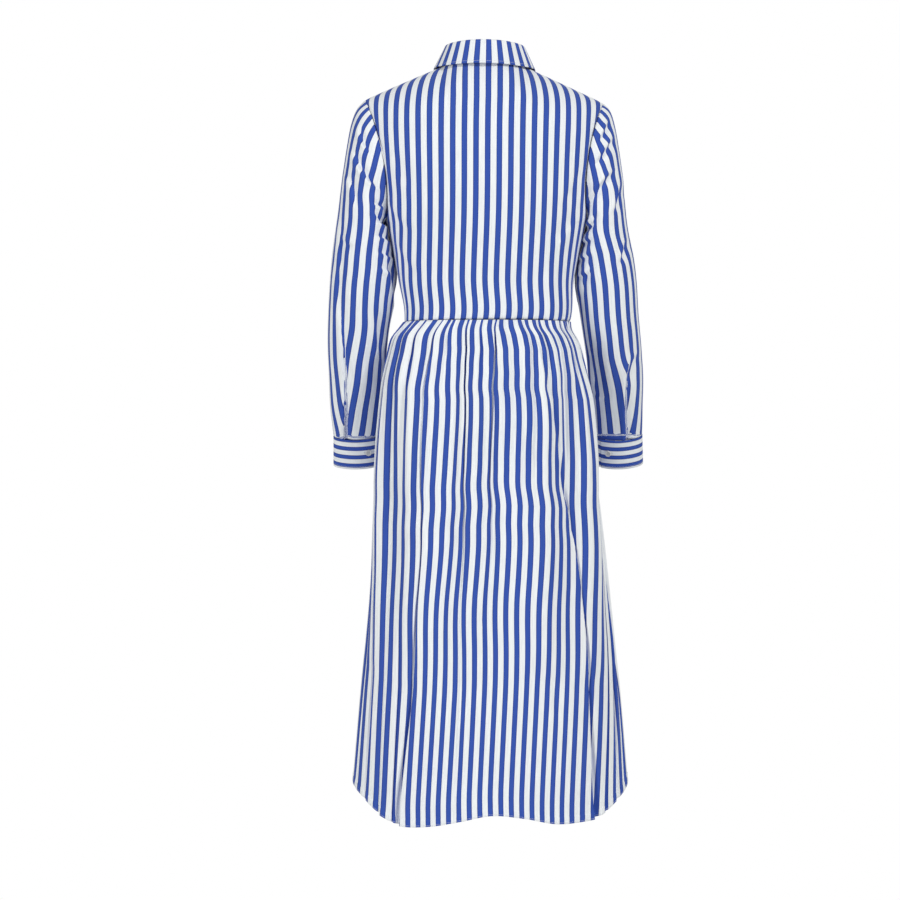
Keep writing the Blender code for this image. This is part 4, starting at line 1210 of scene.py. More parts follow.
@dataclass
class Collar:
    """The collar: a low stand round the neck and the fall that folds down over it."""

    form: BodyForm
    cotton: bpy.types.Material
    thread: bpy.types.Material
    stand_height_back: float = 0.0270
    stand_height_side: float = 0.0268
    stand_lean: float = 0.0065
    step: float = math.pi / 18.0
    stand_steps: int = 19
    fall_steps: int = 17
    roll: float = 0.0034
    rise: float = 0.0018
    clearance: float = 0.0018
    stripe_shift: float = 0.0055
    stand_wall: float = 0.0012
    fall_wall: float = 0.0011
    stand_rows: int = 11
    roll_rows: int = 9
    leaf_rows: int = 17
    lap_steps: tuple[float, float] = (3.0, 2.0)
    chest_shares: tuple[float, float] = (0.8, 0.4)
    stripe_row: int = 18
    edge_line_in: float = 1.6
    end_line_in: float = 2.5
    end_line_rows: tuple[int, int] = (12, -3)
    columns: int = 191
    flat_stand: tuple[float, float] = (0.46, 0.027)
    flat_fall: tuple[float, float] = (0.50, 0.079)
    shaped_stand: float = 0.88
    shaped_fall: float = 0.575
    grids: dict[str, ClothGrid] = field(default_factory=dict)

    def neck_point(self, angle: Array) -> Array:
        """Give neckline points; angle 0 is the centre back, a quarter turn the left shoulder.

        Args:
            angle: angles round the neck.

        Returns:
            The points.
        """
        form = self.form
        behind = np.cos(angle) > 0.0
        depth = np.where(behind, form.neck_back_depth, form.neck_front_depth)
        rise = np.where(behind, form.neck_back_rise, -form.neck_front_drop)
        z = form.neck_side_z + rise * np.cos(angle) ** 2
        return np.stack([form.neck_half_width * np.sin(angle), depth * np.cos(angle), z], axis=-1)

    def outward(self, angle: Array) -> Array:
        """Give the level direction out from the neck at an angle round it."""
        return np.stack([np.sin(angle), np.cos(angle), 0.0 * angle], axis=-1)

    def stand_point(self, angle: Array, up: Array) -> Array:
        """Give points of the stand's outer face, up 0 to 1; its right end laps over its left.

        Args:
            angle: angles round the neck.
            up: shares up the stand.

        Returns:
            The points.
        """
        before, over_steps = self.lap_steps
        over = ease((-angle - math.pi + before * self.step) / (over_steps * self.step))
        lean = over * (STIFF_CLOTH + SEAM_GAP) - self.stand_lean * up
        behind = np.clip(np.cos(angle), 0.0, 1.0) ** 2
        height = self.stand_height_side
        height = height + (self.stand_height_back - self.stand_height_side) * behind
        point = self.neck_point(angle) + self.outward(angle) * lean[..., None]
        point[..., 2] += SEAM_GAP + (height - SEAM_GAP) * up
        return point

    def build(self) -> None:
        """Build the stand and the fall."""
        self.build_stand()
        self.build_fall()

    def build_stand(self) -> None:
        """Build the stand."""
        turn = np.linspace(-self.stand_steps, self.stand_steps, self.columns) * self.step
        angle, up = np.meshgrid(turn, np.linspace(0.0, 1.0, self.stand_rows))
        flat = self.stand_point(angle, up)
        level = np.linalg.norm(np.diff(flat, axis=1), axis=-1)
        across = running_length(level, 1)
        across = across - across[:, self.columns // 2][:, None]
        cloth = np.stack([across, up * self.stand_height_side], axis=-1)
        centre = np.zeros_like(flat)
        centre[..., 2] = flat[..., 2]
        grid = ClothGrid(posed(flat), cloth, centre)
        self.grids["collar_stand"] = grid
        piece = grid.build("collar_stand_cloth", self.stand_wall, self.cotton)
        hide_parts("collar_stand")

    def clear_of_body(self, rows: Array, facing: float) -> Array:
        """Move the leaf's points that face one way out until they are clear of the bodice.

        Each point's height over the nearest point of the bodice, along that point's normal, is
        brought up to the clearance.

        Args:
            rows: rows of the leaf's points.
            facing: the sign of Y of the points that move.

        Returns:
            The rows with those points moved.
        """
        across, down = self.chest_shares
        fine = np.meshgrid(np.linspace(-across, across, 161), np.linspace(0.0, down, 81))
        chest = self.form.points(*fine, facing)
        normals = ClothGrid(chest, chest[..., :2], body_axis(chest)).normals().reshape(-1, 3)
        surface = chest.reshape(-1, 3)
        out = rows.copy()
        for row in out:
            place = np.argmin(((row[:, None] - surface[None]) ** 2).sum(-1), axis=1)
            height = np.sum((row - surface[place]) * normals[place], axis=-1)
            lift = np.where(facing * row[:, 1] > 0.0, np.maximum(0.0, self.clearance - height), 0.0)
            row += normals[place] * lift[:, None]
        return out

    def build_fall(self) -> None:
        """Build the fall: up from the stand, over a small roll and down to its points."""
        angle = np.linspace(-self.fall_steps, self.fall_steps, self.columns) * self.step
        flare, heading, depth = curves(np.degrees(np.abs(angle)), FALL)
        flare, heading = np.radians(flare), np.radians(heading) * np.sign(angle)
        base = self.stand_point(angle, np.ones_like(angle))
        out = self.outward(angle)
        up = np.array([0.0, 0.0, 1.0])
        centre = base + out * (self.roll - STIFF_CLOTH) + up * self.rise
        rows = [base - out * STIFF_CLOTH + up * SEAM_GAP]
        for share in np.linspace(0.0, 1.0, self.roll_rows):
            polar = math.pi + (flare - math.pi) * share
            arm = out * np.cos(polar)[:, None] + up * np.sin(polar)[:, None]
            rows.append(centre + arm * self.roll)
        leaf = self.outward(heading) * np.sin(flare)[:, None] - up * np.cos(flare)[:, None]
        crown = rows[-1]
        for share in np.linspace(0.0, 1.0, self.leaf_rows)[1:]:
            rows.append(crown + leaf * (depth * share)[:, None])
        outer = np.array(rows)
        below = self.roll_rows + 2
        for facing in (1.0, -1.0):
            outer[below:] = self.clear_of_body(outer[below:], facing)
        inward = np.broadcast_to(centre, outer.shape).copy()
        inward[..., 2] = outer[..., 2]
        level = running_length(np.linalg.norm(np.diff(outer[self.stripe_row], axis=0),
                                              axis=-1), 0)
        level = level - level[self.columns // 2] + self.stripe_shift
        across = np.repeat(level[None], len(rows), axis=0)
        down = running_length(np.linalg.norm(np.diff(outer, axis=0), axis=-1), 0)
        grid = ClothGrid(posed(outer), np.stack([across, down], axis=-1), inward)
        self.grids["collar_fall"] = grid
        piece = grid.build("collar_fall_cloth", self.fall_wall, self.cotton)
        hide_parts("collar_fall")
        edge = line_on(grid, row=len(rows) - 1 - self.edge_line_in)
        lines = [stitch_line("fall_line_0", *edge, self.thread)]
        for k, place in enumerate((self.end_line_in, self.columns - 1 - self.end_line_in), 1):
            end = [part[slice(*self.end_line_rows)] for part in line_on(grid, column=place)]
            lines.append(stitch_line(f"fall_line_{k}", *end, self.thread))
        stitches = join_pieces("collar_fall_stitches", lines)


# ------------------------------------------------------------------ skirt


class SkirtSection(NamedTuple):
    """A skirt section: its share of the way down, half width, and depth behind and in front."""

    down: float
    half_width: float
    back: float
    front: float


SKIRT = table(
    SkirtSection,
    (0.0, 0.1335, 0.0785, 0.1125), (0.014, 0.136, 0.083, 0.117), (0.04, 0.1475, 0.09, 0.124),
    (0.08, 0.155, 0.096, 0.13), (0.16, 0.164, 0.102, 0.135), (0.28, 0.1732, 0.106, 0.139),
    (0.42, 0.1815, 0.11, 0.142), (0.6, 0.192, 0.116, 0.146), (0.8, 0.2075, 0.122, 0.15),
    (1.0, 0.22, 0.128, 0.154),
)


class Hem(NamedTuple):
    """The hem's height at a share of the way from the centre to the side seams, + to the left."""

    across: float
    z: float


HEM = table(
    Hem,
    (-1.0, -1.13), (-0.83, -1.155), (-0.68, -1.178), (-0.5, -1.186), (-0.36, -1.187),
    (-0.18, -1.177), (0.0, -1.172), (0.17, -1.182), (0.34, -1.191), (0.52, -1.192),
    (0.68, -1.178), (0.84, -1.151), (1.0, -1.13),
)


class Fold(NamedTuple):
    """A large fold: its valley's place at four heights and the millimetres of cloth it hides there.

    Places are counted in stripes from the panel's centre line, + to the left; the heights are the
    waist and 0.16, 0.45 and 1 of the way down.
    """

    waist: float
    hip: float
    thigh: float
    hem: float
    hides_waist: float
    hides_hip: float
    hides_thigh: float
    hides_hem: float


MILLIMETRE = 0.001
FOLD_DOWNS = (0.0, 0.16, 0.45, 1.0)
BACK_FOLDS = table(
    Fold,
    (14.6, 14.6, 14.6, 14.6, 14, 12, 8, 0), (13.2, 13.2, 13.2, 13.2, 18, 14, 10, 1),
    (11.6, 11.6, 11.6, 11.6, 12, 6, 2, 6), (10.1, 10.1, 10.1, 10.1, 10, 0, 0, 6),
    (8.0, 8.4, 8.1, 9.4, 10, 7, 10, 12), (6.4, 6.4, 6.4, 6.4, 8, 0, 0, 0),
    (4.0, 3.9, 3.6, 3.2, 16, 12, 6, 0), (2.0, 2.0, 2.0, 2.0, 7, 0, 0, 0),
    (0.0, 0.6, 0.8, 0.8, 14, 12, 3, 0), (-3.7, -3.7, -3.7, -3.7, 5, 2, 0, 0),
    (-4.2, -5.5, -8.0, -10.8, 4, 2, 7, 14), (-5.7, -5.7, -5.7, -5.7, 9, 0, 0, 0),
    (-7.4, -7.4, -7.4, -7.4, 4, 2, 0, 0), (-9.2, -9.2, -9.4, -9.4, 14, 0, 0, 0),
    (-10.8, -11.8, -12.0, -12.0, 24, 8, 8, 2), (-12.6, -13.4, -13.4, -13.4, 36, 38, 30, 2),
    (-14.4, -14.8, -14.8, -14.8, 30, 34, 28, 0),
)
FRONT_FOLDS = table(
    Fold,
    (2.6, 2.7, 2.8, 3.0, 12, 8, 2, 0), (4.2, 4.6, 5.0, 5.4, 20, 16, 10, 4),
    (6.0, 6.1, 6.2, 6.4, 10, 4, 0, 0), (7.6, 8.0, 8.4, 8.8, 20, 16, 12, 6),
    (9.4, 9.6, 9.8, 10.0, 18, 10, 2, 0), (11.2, 11.4, 11.6, 11.8, 20, 16, 12, 6),
    (12.8, 12.8, 12.8, 12.8, 16, 8, 2, 0), (14.2, 14.2, 14.2, 14.2, 10, 10, 8, 2),
)
SKIRT_CREASES = table(
    Crease,
    (0.018, -0.864, -0.006, -0.88, 0.005, -0.0016, 0.0, 0.001, 0.0),
    (0.072, -0.7, 0.06, -0.76, 0.007, -0.0014, 0.0, 0.002, 0.0),
    (-0.06, -0.56, -0.084, -0.64, 0.008, -0.0016, 0.0, 0.003, 0.0),
    (0.03, -1.02, 0.024, -1.09, 0.008, -0.0014, 0.0, 0.001, 0.0),
    (-0.1, -0.96, -0.112, -1.04, 0.009, -0.0016, 0.0, 0.002, 0.0),
)


class Drift(NamedTuple):
    """How far the back panel hangs to the right at a share down the skirt: its middle, and its
    right quarter over and above that."""

    down: float
    middle: float
    quarter: float


DRIFT = table(
    Drift,
    (0.0, 0.003, 0.002), (0.05, 0.006, 0.009), (0.1, 0.0085, 0.013), (0.16, 0.009, 0.0175),
    (0.28, 0.0092, 0.019), (0.36, 0.0058, 0.014), (0.46, 0.0005, 0.009), (0.56, -0.006, 0.005),
    (0.75, -0.002, 0.0), (1.0, 0.002, -0.002),
)


# The drift's two humps across a row, x(1 - x) and x(1 - x)^4, are scaled to 1 at their highest.
MIDDLE_PEAK, QUARTER_PEAK = 4.0, 12.2


class Ripple(NamedTuple):
    """How strongly gathers, fine tucks and soft waves show at a share down the skirt, and how far
    a row may stand off its section."""

    down: float
    gathers: float
    tucks: float
    waves: float
    stand_off: float


RIPPLES = table(
    Ripple,
    (0.0, 0.5, 1.0, 0.0, 0.3), (0.012, 0.7, 0.8, 0.0, 0.7), (0.03, 0.9, 0.3, 0.05, 0.95),
    (0.06, 0.9, 0.08, 0.1, 1.0), (0.16, 0.5, 0.0, 0.3, 1.0), (0.36, 0.15, 0.0, 0.5, 1.0),
    (1.0, 0.1, 0.0, 0.6, 1.0),
)


def ripple_strengths(down: float) -> Array:
    """Give the strengths of gathers, tucks and waves and the stand-off at a share down."""
    at, *values = columns_of(RIPPLES)
    return read_columns(down, at, np.stack(values, axis=-1))


@dataclass
class Skirt:
    """The gathered skirt: a back panel, two fronts and the button band that lies on them.

    Places across it are counted in stripes from its centre line, + to the left.
    """

    cotton: bpy.types.Material
    thread: bpy.types.Material
    back_ends: tuple[float, float] = (-15.9, 15.8)
    front_ends: tuple[float, float] = (-16.0, 16.0)
    stripe: float = 0.0185
    centre_period: float = 0.0164
    side_period: float = 0.0212
    fuller_between: tuple[float, float] = (7.0, 10.0)
    farthest: float = 18.0
    squareness: tuple[float, float, float] = (2.25, 2.10, 1.90)
    squareness_downs: tuple[float, float, float] = (0.0, 0.3, 1.0)
    gathers: int = 20
    tucks: int = 41
    waves: int = 6
    flat_by_band: float = 1.25
    steepest: float = 1.30
    groove_squareness: float = 2.2
    groove_end: float = 8.0
    groove_room: tuple[float, float] = (1.30, 2.20)
    groove_steepest: float = 1.54
    groove_least: float = 0.012
    least_hidden: float = 0.0001
    deep_from: float = 0.004
    formed_by: float = 0.06
    formed_at_waist: float = 0.96
    shallow_to: float = 0.070
    front_mirror_scale: float = 0.95
    band_half_width: float = 0.0155
    underlap: float = 0.0130
    hem_depth: float = 0.010
    hem_rows_reach: float = 1.6
    fall_length: float = 0.78
    row_crowding: float = 1.5
    hem_turn: float = 0.0015
    hem_stitches: float = 0.0085
    seam_dip: float = 0.0004
    flat_length: float = 0.80
    flat_back: float = 0.60
    flat_front_left: float = 0.325
    flat_front_right: float = 0.300
    flat_band: tuple[float, float] = (0.033, 0.776)
    band_columns: int = 13
    hem_rise_back: float = 0.0006
    hem_rise_front: float = 0.0003
    cloth_thickness: float = 0.0006
    pressed_share: float = 0.7
    band_release: float = 0.010
    strongest: float = 8.0
    halvings: int = 34
    fine_steps: int = 2400
    rows: int = 88
    hem_rows: int = 12
    columns: int = 440
    grids: dict[str, ClothGrid] = field(default_factory=dict)

    def base(self, down: float, facing: float) -> tuple[Array, Array, Array]:
        """Give a section's arc lengths, points and outward directions from right to left seam.

        Args:
            down: the share of the way down.
            facing: the way the panel faces, as the sign of Y.

        Returns:
            Lengths along the section, its points in X and Y, and the directions.
        """
        half_width, back, front = curves(np.array(down), SKIRT)
        a, b = float(half_width), float(back if facing > 0 else front)
        turn = np.linspace(math.pi, 0.0, self.fine_steps + 1)
        power = 2.0 / np.interp(down, self.squareness_downs, self.squareness)
        x = a * np.sign(np.cos(turn)) * np.abs(np.cos(turn)) ** power
        y = facing * b * np.abs(np.sin(turn)) ** power
        arc = running_length(np.hypot(np.diff(x), np.diff(y)), 0)
        even = np.linspace(0.0, arc[-1], self.fine_steps + 1)
        x, y = np.interp(even, arc, x), np.interp(even, arc, y)
        ahead = unit(np.stack([np.gradient(x), np.gradient(y)], axis=-1))
        out = np.stack([ahead[:, 1], -ahead[:, 0]], axis=-1) * -facing
        return even, np.stack([x, y], axis=-1), out

    def cloth_at(self, place: Array) -> Array:
        """Give the cloth's length from the centre line to a place.

        The cloth between two stripes is a little fuller at the sides, where it turns away.

        Args:
            place: places across the panel, in stripes.

        Returns:
            Lengths along the cloth, in metres.
        """
        fine = np.linspace(-self.farthest, self.farthest, 1441)
        fuller = self.side_period - self.centre_period
        begin, end = self.fuller_between
        middle = np.clip((end - np.abs(fine)) / (end - begin), 0.0, 1.0)
        period = self.side_period - fuller * middle
        run = running_length(0.5 * (period[1:] + period[:-1]) * np.diff(fine), 0)
        return np.interp(place, fine, run - np.interp(0.0, fine, run))

    def groove(self, t: Array) -> Array:
        """Give a groove's turn from -1 to 1 across it: a sine squared off, down and up again.

        Args:
            t: places across the groove, -1 to 1.

        Returns:
            The turns, as shares of the steepest.
        """
        k = self.groove_squareness
        squared = np.tanh(k * np.sin(math.pi * t)) / math.tanh(k)
        return squared * np.clip(self.groove_end * (1.0 - np.abs(t)), 0.0, 1.0)

    def grooves(self, cloth: Array, down: float, facing: float) -> tuple[Array, Array]:
        """Add up the turns of the large folds at each place along the cloth.

        A fold that hides h of the cloth is a groove a little longer than h, as steep as makes the
        mean cosine of its turns leave just the rest to be seen.

        Args:
            cloth: lengths along the cloth from the centre line.
            down: the share of the way down.
            facing: the way the panel faces, as the sign of Y.

        Returns:
            The turns, and 1 inside a groove and 0 elsewhere.
        """
        steep = np.linspace(0.0, self.groove_steepest, 160)
        across = np.linspace(-1.0, 1.0, 321)
        seen = np.cos(steep[:, None] * self.groove(across)[None]).mean(axis=1)
        angles, inside = np.zeros_like(cloth), np.zeros_like(cloth)
        at, knots = np.array(down), np.array(FOLD_DOWNS)
        formed = self.formed_at_waist + (1.0 - self.formed_at_waist) * ease(
            down / self.formed_by)
        for fold in self.folds(facing):
            place = smooth_curve(at, knots, np.array(fold[:4]))
            hidden = MILLIMETRE * smooth_curve(at, knots, np.array(fold[4:])) * formed
            if hidden < self.least_hidden:
                continue
            room = np.interp(down, FOLD_DOWNS[2:], self.groove_room)
            length = max(room * hidden, self.groove_least)
            turn = np.interp(1.0 - hidden / length, seen[::-1], steep[::-1])
            t = (cloth - self.cloth_at(place)) / (0.5 * length)
            angles += turn * self.groove(t)
            deep = ease(hidden / self.deep_from)
            inside = np.maximum(inside, deep * ease(2.0 - 2.0 * np.abs(t)))
        return np.clip(angles, -self.groove_steepest, self.groove_steepest), inside

    def ripples(self, share: Array, down: float) -> Array:
        """Add up the small turns at a share -0.5 to 0.5 across a panel.

        Gathers and tucks are sines with a wandering pitch, and soft waves are slow sines. The
        uneven multiples and starts below keep them from ever falling in step.

        Args:
            share: places across the panel.
            down: the share of the way down.

        Returns:
            The turns, before they are fitted to the row.
        """
        gathers, tucks, waves, _ = ripple_strengths(down)
        turn = 2.0 * math.pi * (share + 0.5)
        wander = 0.9 * np.sin(2.3 * turn + 1.0) + 0.6 * np.sin(3.7 * turn)
        angles = gathers * np.sin(self.gathers * turn + wander)
        small = np.sin(self.tucks * turn + 1.7 * np.sin(3.1 * turn + 0.4) + wander)
        uneven = 0.75 + 0.35 * np.sin(4.3 * turn + 2.0)
        angles = angles + tucks * small * uneven
        wave = np.sin(self.waves * turn + 0.8 * np.sin(turn) + 0.7)
        return angles + waves * wave

    def folds(self, facing: float) -> list[Fold]:
        """Give a panel's large folds; the front's are nearly alike on both sides of the band.

        Args:
            facing: the way the panel faces, as the sign of Y.

        Returns:
            The folds.
        """
        if facing > 0:
            return list(BACK_FOLDS)
        mirrored = [Fold(*(-self.front_mirror_scale * place for place in fold[:4]), *fold[4:])
                    for fold in FRONT_FOLDS]
        return list(FRONT_FOLDS) + mirrored

    def row(self, down: float, facing: float, places: Array) -> Array:
        """Give one row of points at places across the panel.

        The cloth isn't stretched: the ripples are made as steep as fits the row's length to its
        section. Cosines of the turns carry the cloth along the section, and sines stand it off.

        Args:
            down: the share of the way down.
            facing: the way the panel faces, as the sign of Y.
            places: places across the panel, in stripes.

        Returns:
            The row's points.
        """
        ends = self.cloth_at(np.array(self.back_ends if facing > 0 else self.front_ends))
        arc, base, out = self.base(down, facing)
        cloth = np.linspace(ends[0], ends[1], self.fine_steps + 1)
        middle = 0.5 * (cloth[1:] + cloth[:-1])
        width = ends[1] - ends[0]
        grooves, inside = self.grooves(middle, down, facing)
        ripples = self.ripples((middle - ends[0]) / width - 0.5, down) * (1.0 - inside)
        calm = np.ones_like(middle)
        band = self.flat_by_band * self.centre_period
        if facing < 0:
            calm = ease((np.abs(middle) - band) / self.band_release)
        low, high = 0.0, self.strongest
        for _ in range(self.halvings):
            scale = 0.5 * (low + high)
            angles = grooves + self.steepest * np.tanh(scale * ripples / self.steepest)
            angles = angles * calm
            if np.mean(np.cos(angles)) * width > arc[-1]:
                low = scale
            else:
                high = scale
        step = width / self.fine_steps
        ahead = running_length(np.cos(angles) * step, 0)
        ahead *= arc[-1] / ahead[-1]
        # Near the waist a large fold is pressed flat: it hides as much but stands off less.
        pressed = 1.0 - self.pressed_share * inside * (1.0 - ease(down / self.shallow_to))
        off = running_length(np.sin(angles) * pressed * step, 0)
        if facing > 0:
            off -= np.interp(cloth, (cloth[0], cloth[-1]), (off[0], off[-1]))
        else:
            middle_off = np.interp(0.0, cloth, off)
            knots = (cloth[0], -band, band, cloth[-1])
            off -= np.interp(cloth, knots, (off[0], middle_off, middle_off, off[-1]))
            half = 0.5 * arc[-1]
            ahead += half - np.interp(0.0, cloth, ahead)
            spread = half / (ahead[-1] - half), half / (half - ahead[0])
            from_middle = ahead - half
            ahead = half + from_middle * np.where(from_middle > 0.0, *spread)
        off *= ripple_strengths(down)[3]
        if facing > 0:
            middle_drift, quarter_drift = curves(np.array(down), DRIFT)
            way = ahead / arc[-1]
            shift = MIDDLE_PEAK * middle_drift
            shift = shift + QUARTER_PEAK * quarter_drift * (1.0 - way) ** 3
            ahead = ahead - way * (1.0 - way) * shift
        level = read_columns(ahead, arc, base) + read_columns(ahead, arc, out) * off[:, None]
        top = WAIST_Z - 0.5 * SEAM_GAP
        (hem_z,) = curves(2.0 * (cloth - ends[0]) / width - 1.0, HEM)
        fine = np.concatenate([level, (top + (hem_z - top) * down)[:, None]], axis=1)
        return read_columns(self.cloth_at(places), cloth, fine)

    def places(self, first: float, last: float, count: int) -> Array:
        """Give places from first to last that lie evenly along the cloth.

        Args:
            first: the first place, in stripes.
            last: the last one.
            count: how many there are.

        Returns:
            The places.
        """
        fine = np.linspace(first, last, 1201)
        cloth = self.cloth_at(fine)
        return np.interp(np.linspace(cloth[0], cloth[-1], count), cloth, fine)

    def grid(self, facing: float, places: Array) -> ClothGrid:
        """Stack a panel's rows, closest together below the waist and at the hem.

        Args:
            facing: the way the panel faces, as the sign of Y.
            places: places across the panel, in stripes.

        Returns:
            The grid.
        """
        turned = 1.0 - self.hem_rows_reach * self.hem_depth / self.fall_length
        downs = np.concatenate([turned * np.linspace(0.0, 1.0, self.rows) ** self.row_crowding,
                                np.linspace(turned, 1.0, self.hem_rows + 1)[1:]])
        points = np.array([self.row(down, facing, places) for down in downs])
        points[..., 1] = facing * np.maximum(facing * points[..., 1], 0.5 * SEAM_GAP)
        across = np.repeat(self.stripe * places[None], len(downs), axis=0)
        cloth = np.stack([across, -points[..., 2]], axis=-1)
        return ClothGrid(posed(points), cloth, level_axis(points))

    def panel(self, name: str, facing: Facing, places: Array, seams: str, cut: float) -> None:
        """Build one panel with its narrow turned hem and the hem's stitches.

        Args:
            name: the CAD node that the panel stands for.
            facing: the way it faces.
            places: the columns' places across the cloth.
            seams: its sewn edges.
            cut: the panel's width in metres of cloth; not used.
        """
        grid = self.grid(facing.value, places)
        grid.crease(SKIRT_CREASES, np.full(grid.points.shape[:2], 0.5 + 0.5 * facing.value))
        from_hem = grid.from_edges()[1]
        rise = self.hem_rise_back if facing is Facing.BACK else self.hem_rise_front
        grid.raise_by(rise * ease((self.hem_depth + self.hem_turn - from_hem) / self.hem_turn))
        grid.dip_at_seams(seams, depth=self.seam_dip)
        self.grids[name] = grid
        piece = grid.build(name + "_cloth", self.cloth_thickness, self.cotton)
        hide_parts(name)
        height = float(np.median(from_hem[0]))
        share = index_at(from_hem[0].mean() - from_hem.mean(axis=1), height - self.hem_stitches)
        stitches = stitch_line(name + "_hem_stitches", *line_on(grid, row=share), self.thread)

    def build(self) -> None:
        """Build the panels and the band."""
        back = self.places(*self.back_ends, self.columns)
        self.panel("skirt_back", Facing.BACK, back, "tfl", self.flat_back)
        first, last = self.front_ends
        count = self.columns // 2 + 6
        left = self.places(-self.underlap / self.centre_period, last, count)
        self.panel("skirt_front_left", Facing.FRONT, left, "tl", self.flat_front_left)
        start = (self.underlap + 2.0 * SEAM_GAP) / self.centre_period
        right = self.places(first, -start, count)
        self.panel("skirt_front_right", Facing.FRONT, right, "tf", self.flat_front_right)
        half = self.band_half_width / self.centre_period
        grid = self.grid(-1.0, np.linspace(-half, half, self.band_columns))
        grid.raise_by(np.full(grid.points.shape[:2], CAD_CLOTH + SEAM_GAP))
        grid.points[0, :, 2] = WAIST_Z - 0.5 * SEAM_GAP
        self.grids["placket_skirt"] = grid
        finish_band("placket_skirt", grid, self.cotton, self.thread)


# ------------------------------------------------------------------ sleeves and cuffs


class SleeveRing(NamedTuple):
    """A sleeve ring: its outermost and innermost points, half depth along Y and swing forward."""

    outer_x: float
    outer_z: float
    inner_x: float
    inner_z: float
    half_depth: float
    forward: float


SLEEVE_LEFT = table(
    SleeveRing,
    (0.2085, -0.061, 0.1625, -0.249, 0.059, 0.0), (0.2175, -0.085, 0.161, -0.2545, 0.061, 0.0),
    (0.2245, -0.122, 0.1583, -0.264, 0.062, 0.0), (0.2305, -0.162, 0.1548, -0.278, 0.061, 0.0),
    (0.2355, -0.202, 0.151, -0.296, 0.059, 0.001), (0.241, -0.244, 0.1465, -0.318, 0.057, 0.003),
    (0.247, -0.286, 0.1455, -0.344, 0.055, 0.008), (0.2515, -0.33, 0.15, -0.375, 0.053, 0.016),
    (0.255, -0.38, 0.157, -0.41, 0.051, 0.028), (0.257, -0.43, 0.1605, -0.445, 0.049, 0.042),
    (0.256, -0.48, 0.1625, -0.487, 0.046, 0.06), (0.255, -0.527, 0.165, -0.526, 0.0415, 0.075),
    (0.252, -0.56, 0.168, -0.558, 0.0355, 0.085),
    (0.2495, -0.5815, 0.171, -0.579, 0.0315, 0.091),
)
SLEEVE_RIGHT = table(
    SleeveRing,
    (-0.197, -0.063, -0.16, -0.249, 0.059, 0.0),
    (-0.2045, -0.087, -0.1585, -0.2545, 0.061, 0.0),
    (-0.211, -0.124, -0.1558, -0.264, 0.062, 0.0), (-0.2165, -0.164, -0.1522, -0.278, 0.061, 0.0),
    (-0.22, -0.204, -0.1483, -0.296, 0.059, 0.001), (-0.225, -0.25, -0.144, -0.318, 0.057, 0.003),
    (-0.2345, -0.294, -0.1425, -0.344, 0.055, 0.008),
    (-0.24, -0.335, -0.148, -0.375, 0.053, 0.016), (-0.244, -0.385, -0.154, -0.41, 0.051, 0.028),
    (-0.25, -0.435, -0.16, -0.445, 0.049, 0.044),
    (-0.2545, -0.485, -0.166, -0.487, 0.046, 0.061),
    (-0.255, -0.528, -0.171, -0.527, 0.0415, 0.077),
    (-0.2555, -0.559, -0.174, -0.559, 0.0355, 0.088),
    (-0.2555, -0.5785, -0.176, -0.58, 0.0315, 0.095),
)
LEFT_SLEEVE_CREASES = table(
    Crease,
    (0.201, -0.085, 0.183, -0.138, 0.005, -0.004, 0.008, 0.006, 0.0),
    (0.214, -0.121, 0.163, -0.199, 0.006, -0.0052, 0.01, 0.009, 0.0),
    (0.222, -0.163, 0.209, -0.226, 0.0055, -0.0042, 0.008, -0.003, 0.0),
    (0.182, -0.216, 0.16, -0.218, 0.0045, -0.0036, 0.005, 0.001, 0.0),
    (0.18, -0.226, 0.156, -0.25, 0.0045, -0.0036, 0.006, 0.002, 0.0),
    (0.178, -0.242, 0.15, -0.25, 0.0055, -0.0032, 0.002, 0.0, 0.0),
    (0.178, -0.264, 0.148, -0.272, 0.0055, -0.0032, 0.002, 0.0, 0.0),
    (0.176, -0.288, 0.146, -0.298, 0.0055, -0.003, 0.002, 0.001, 0.0),
    (0.174, -0.314, 0.146, -0.322, 0.006, -0.0026, 0.002, 0.0, 0.0),
    (0.23, -0.228, 0.232, -0.33, 0.005, -0.003, 0.006, 0.002, 0.0),
    (0.162, -0.29, 0.146, -0.372, 0.0055, -0.0034, 0.006, -0.003, 0.0),
    (0.236, -0.3, 0.23, -0.42, 0.007, -0.0032, 0.006, 0.003, 0.0),
    (0.233, -0.372, 0.229, -0.576, 0.006, -0.004, 0.016, -0.003, 1.0),
    (0.175, -0.38, 0.168, -0.47, 0.007, -0.003, 0.004, 0.002, 0.0),
    (0.236, -0.262, 0.204, -0.284, 0.009, 0.0018, 0.0, 0.002, 0.0),
)
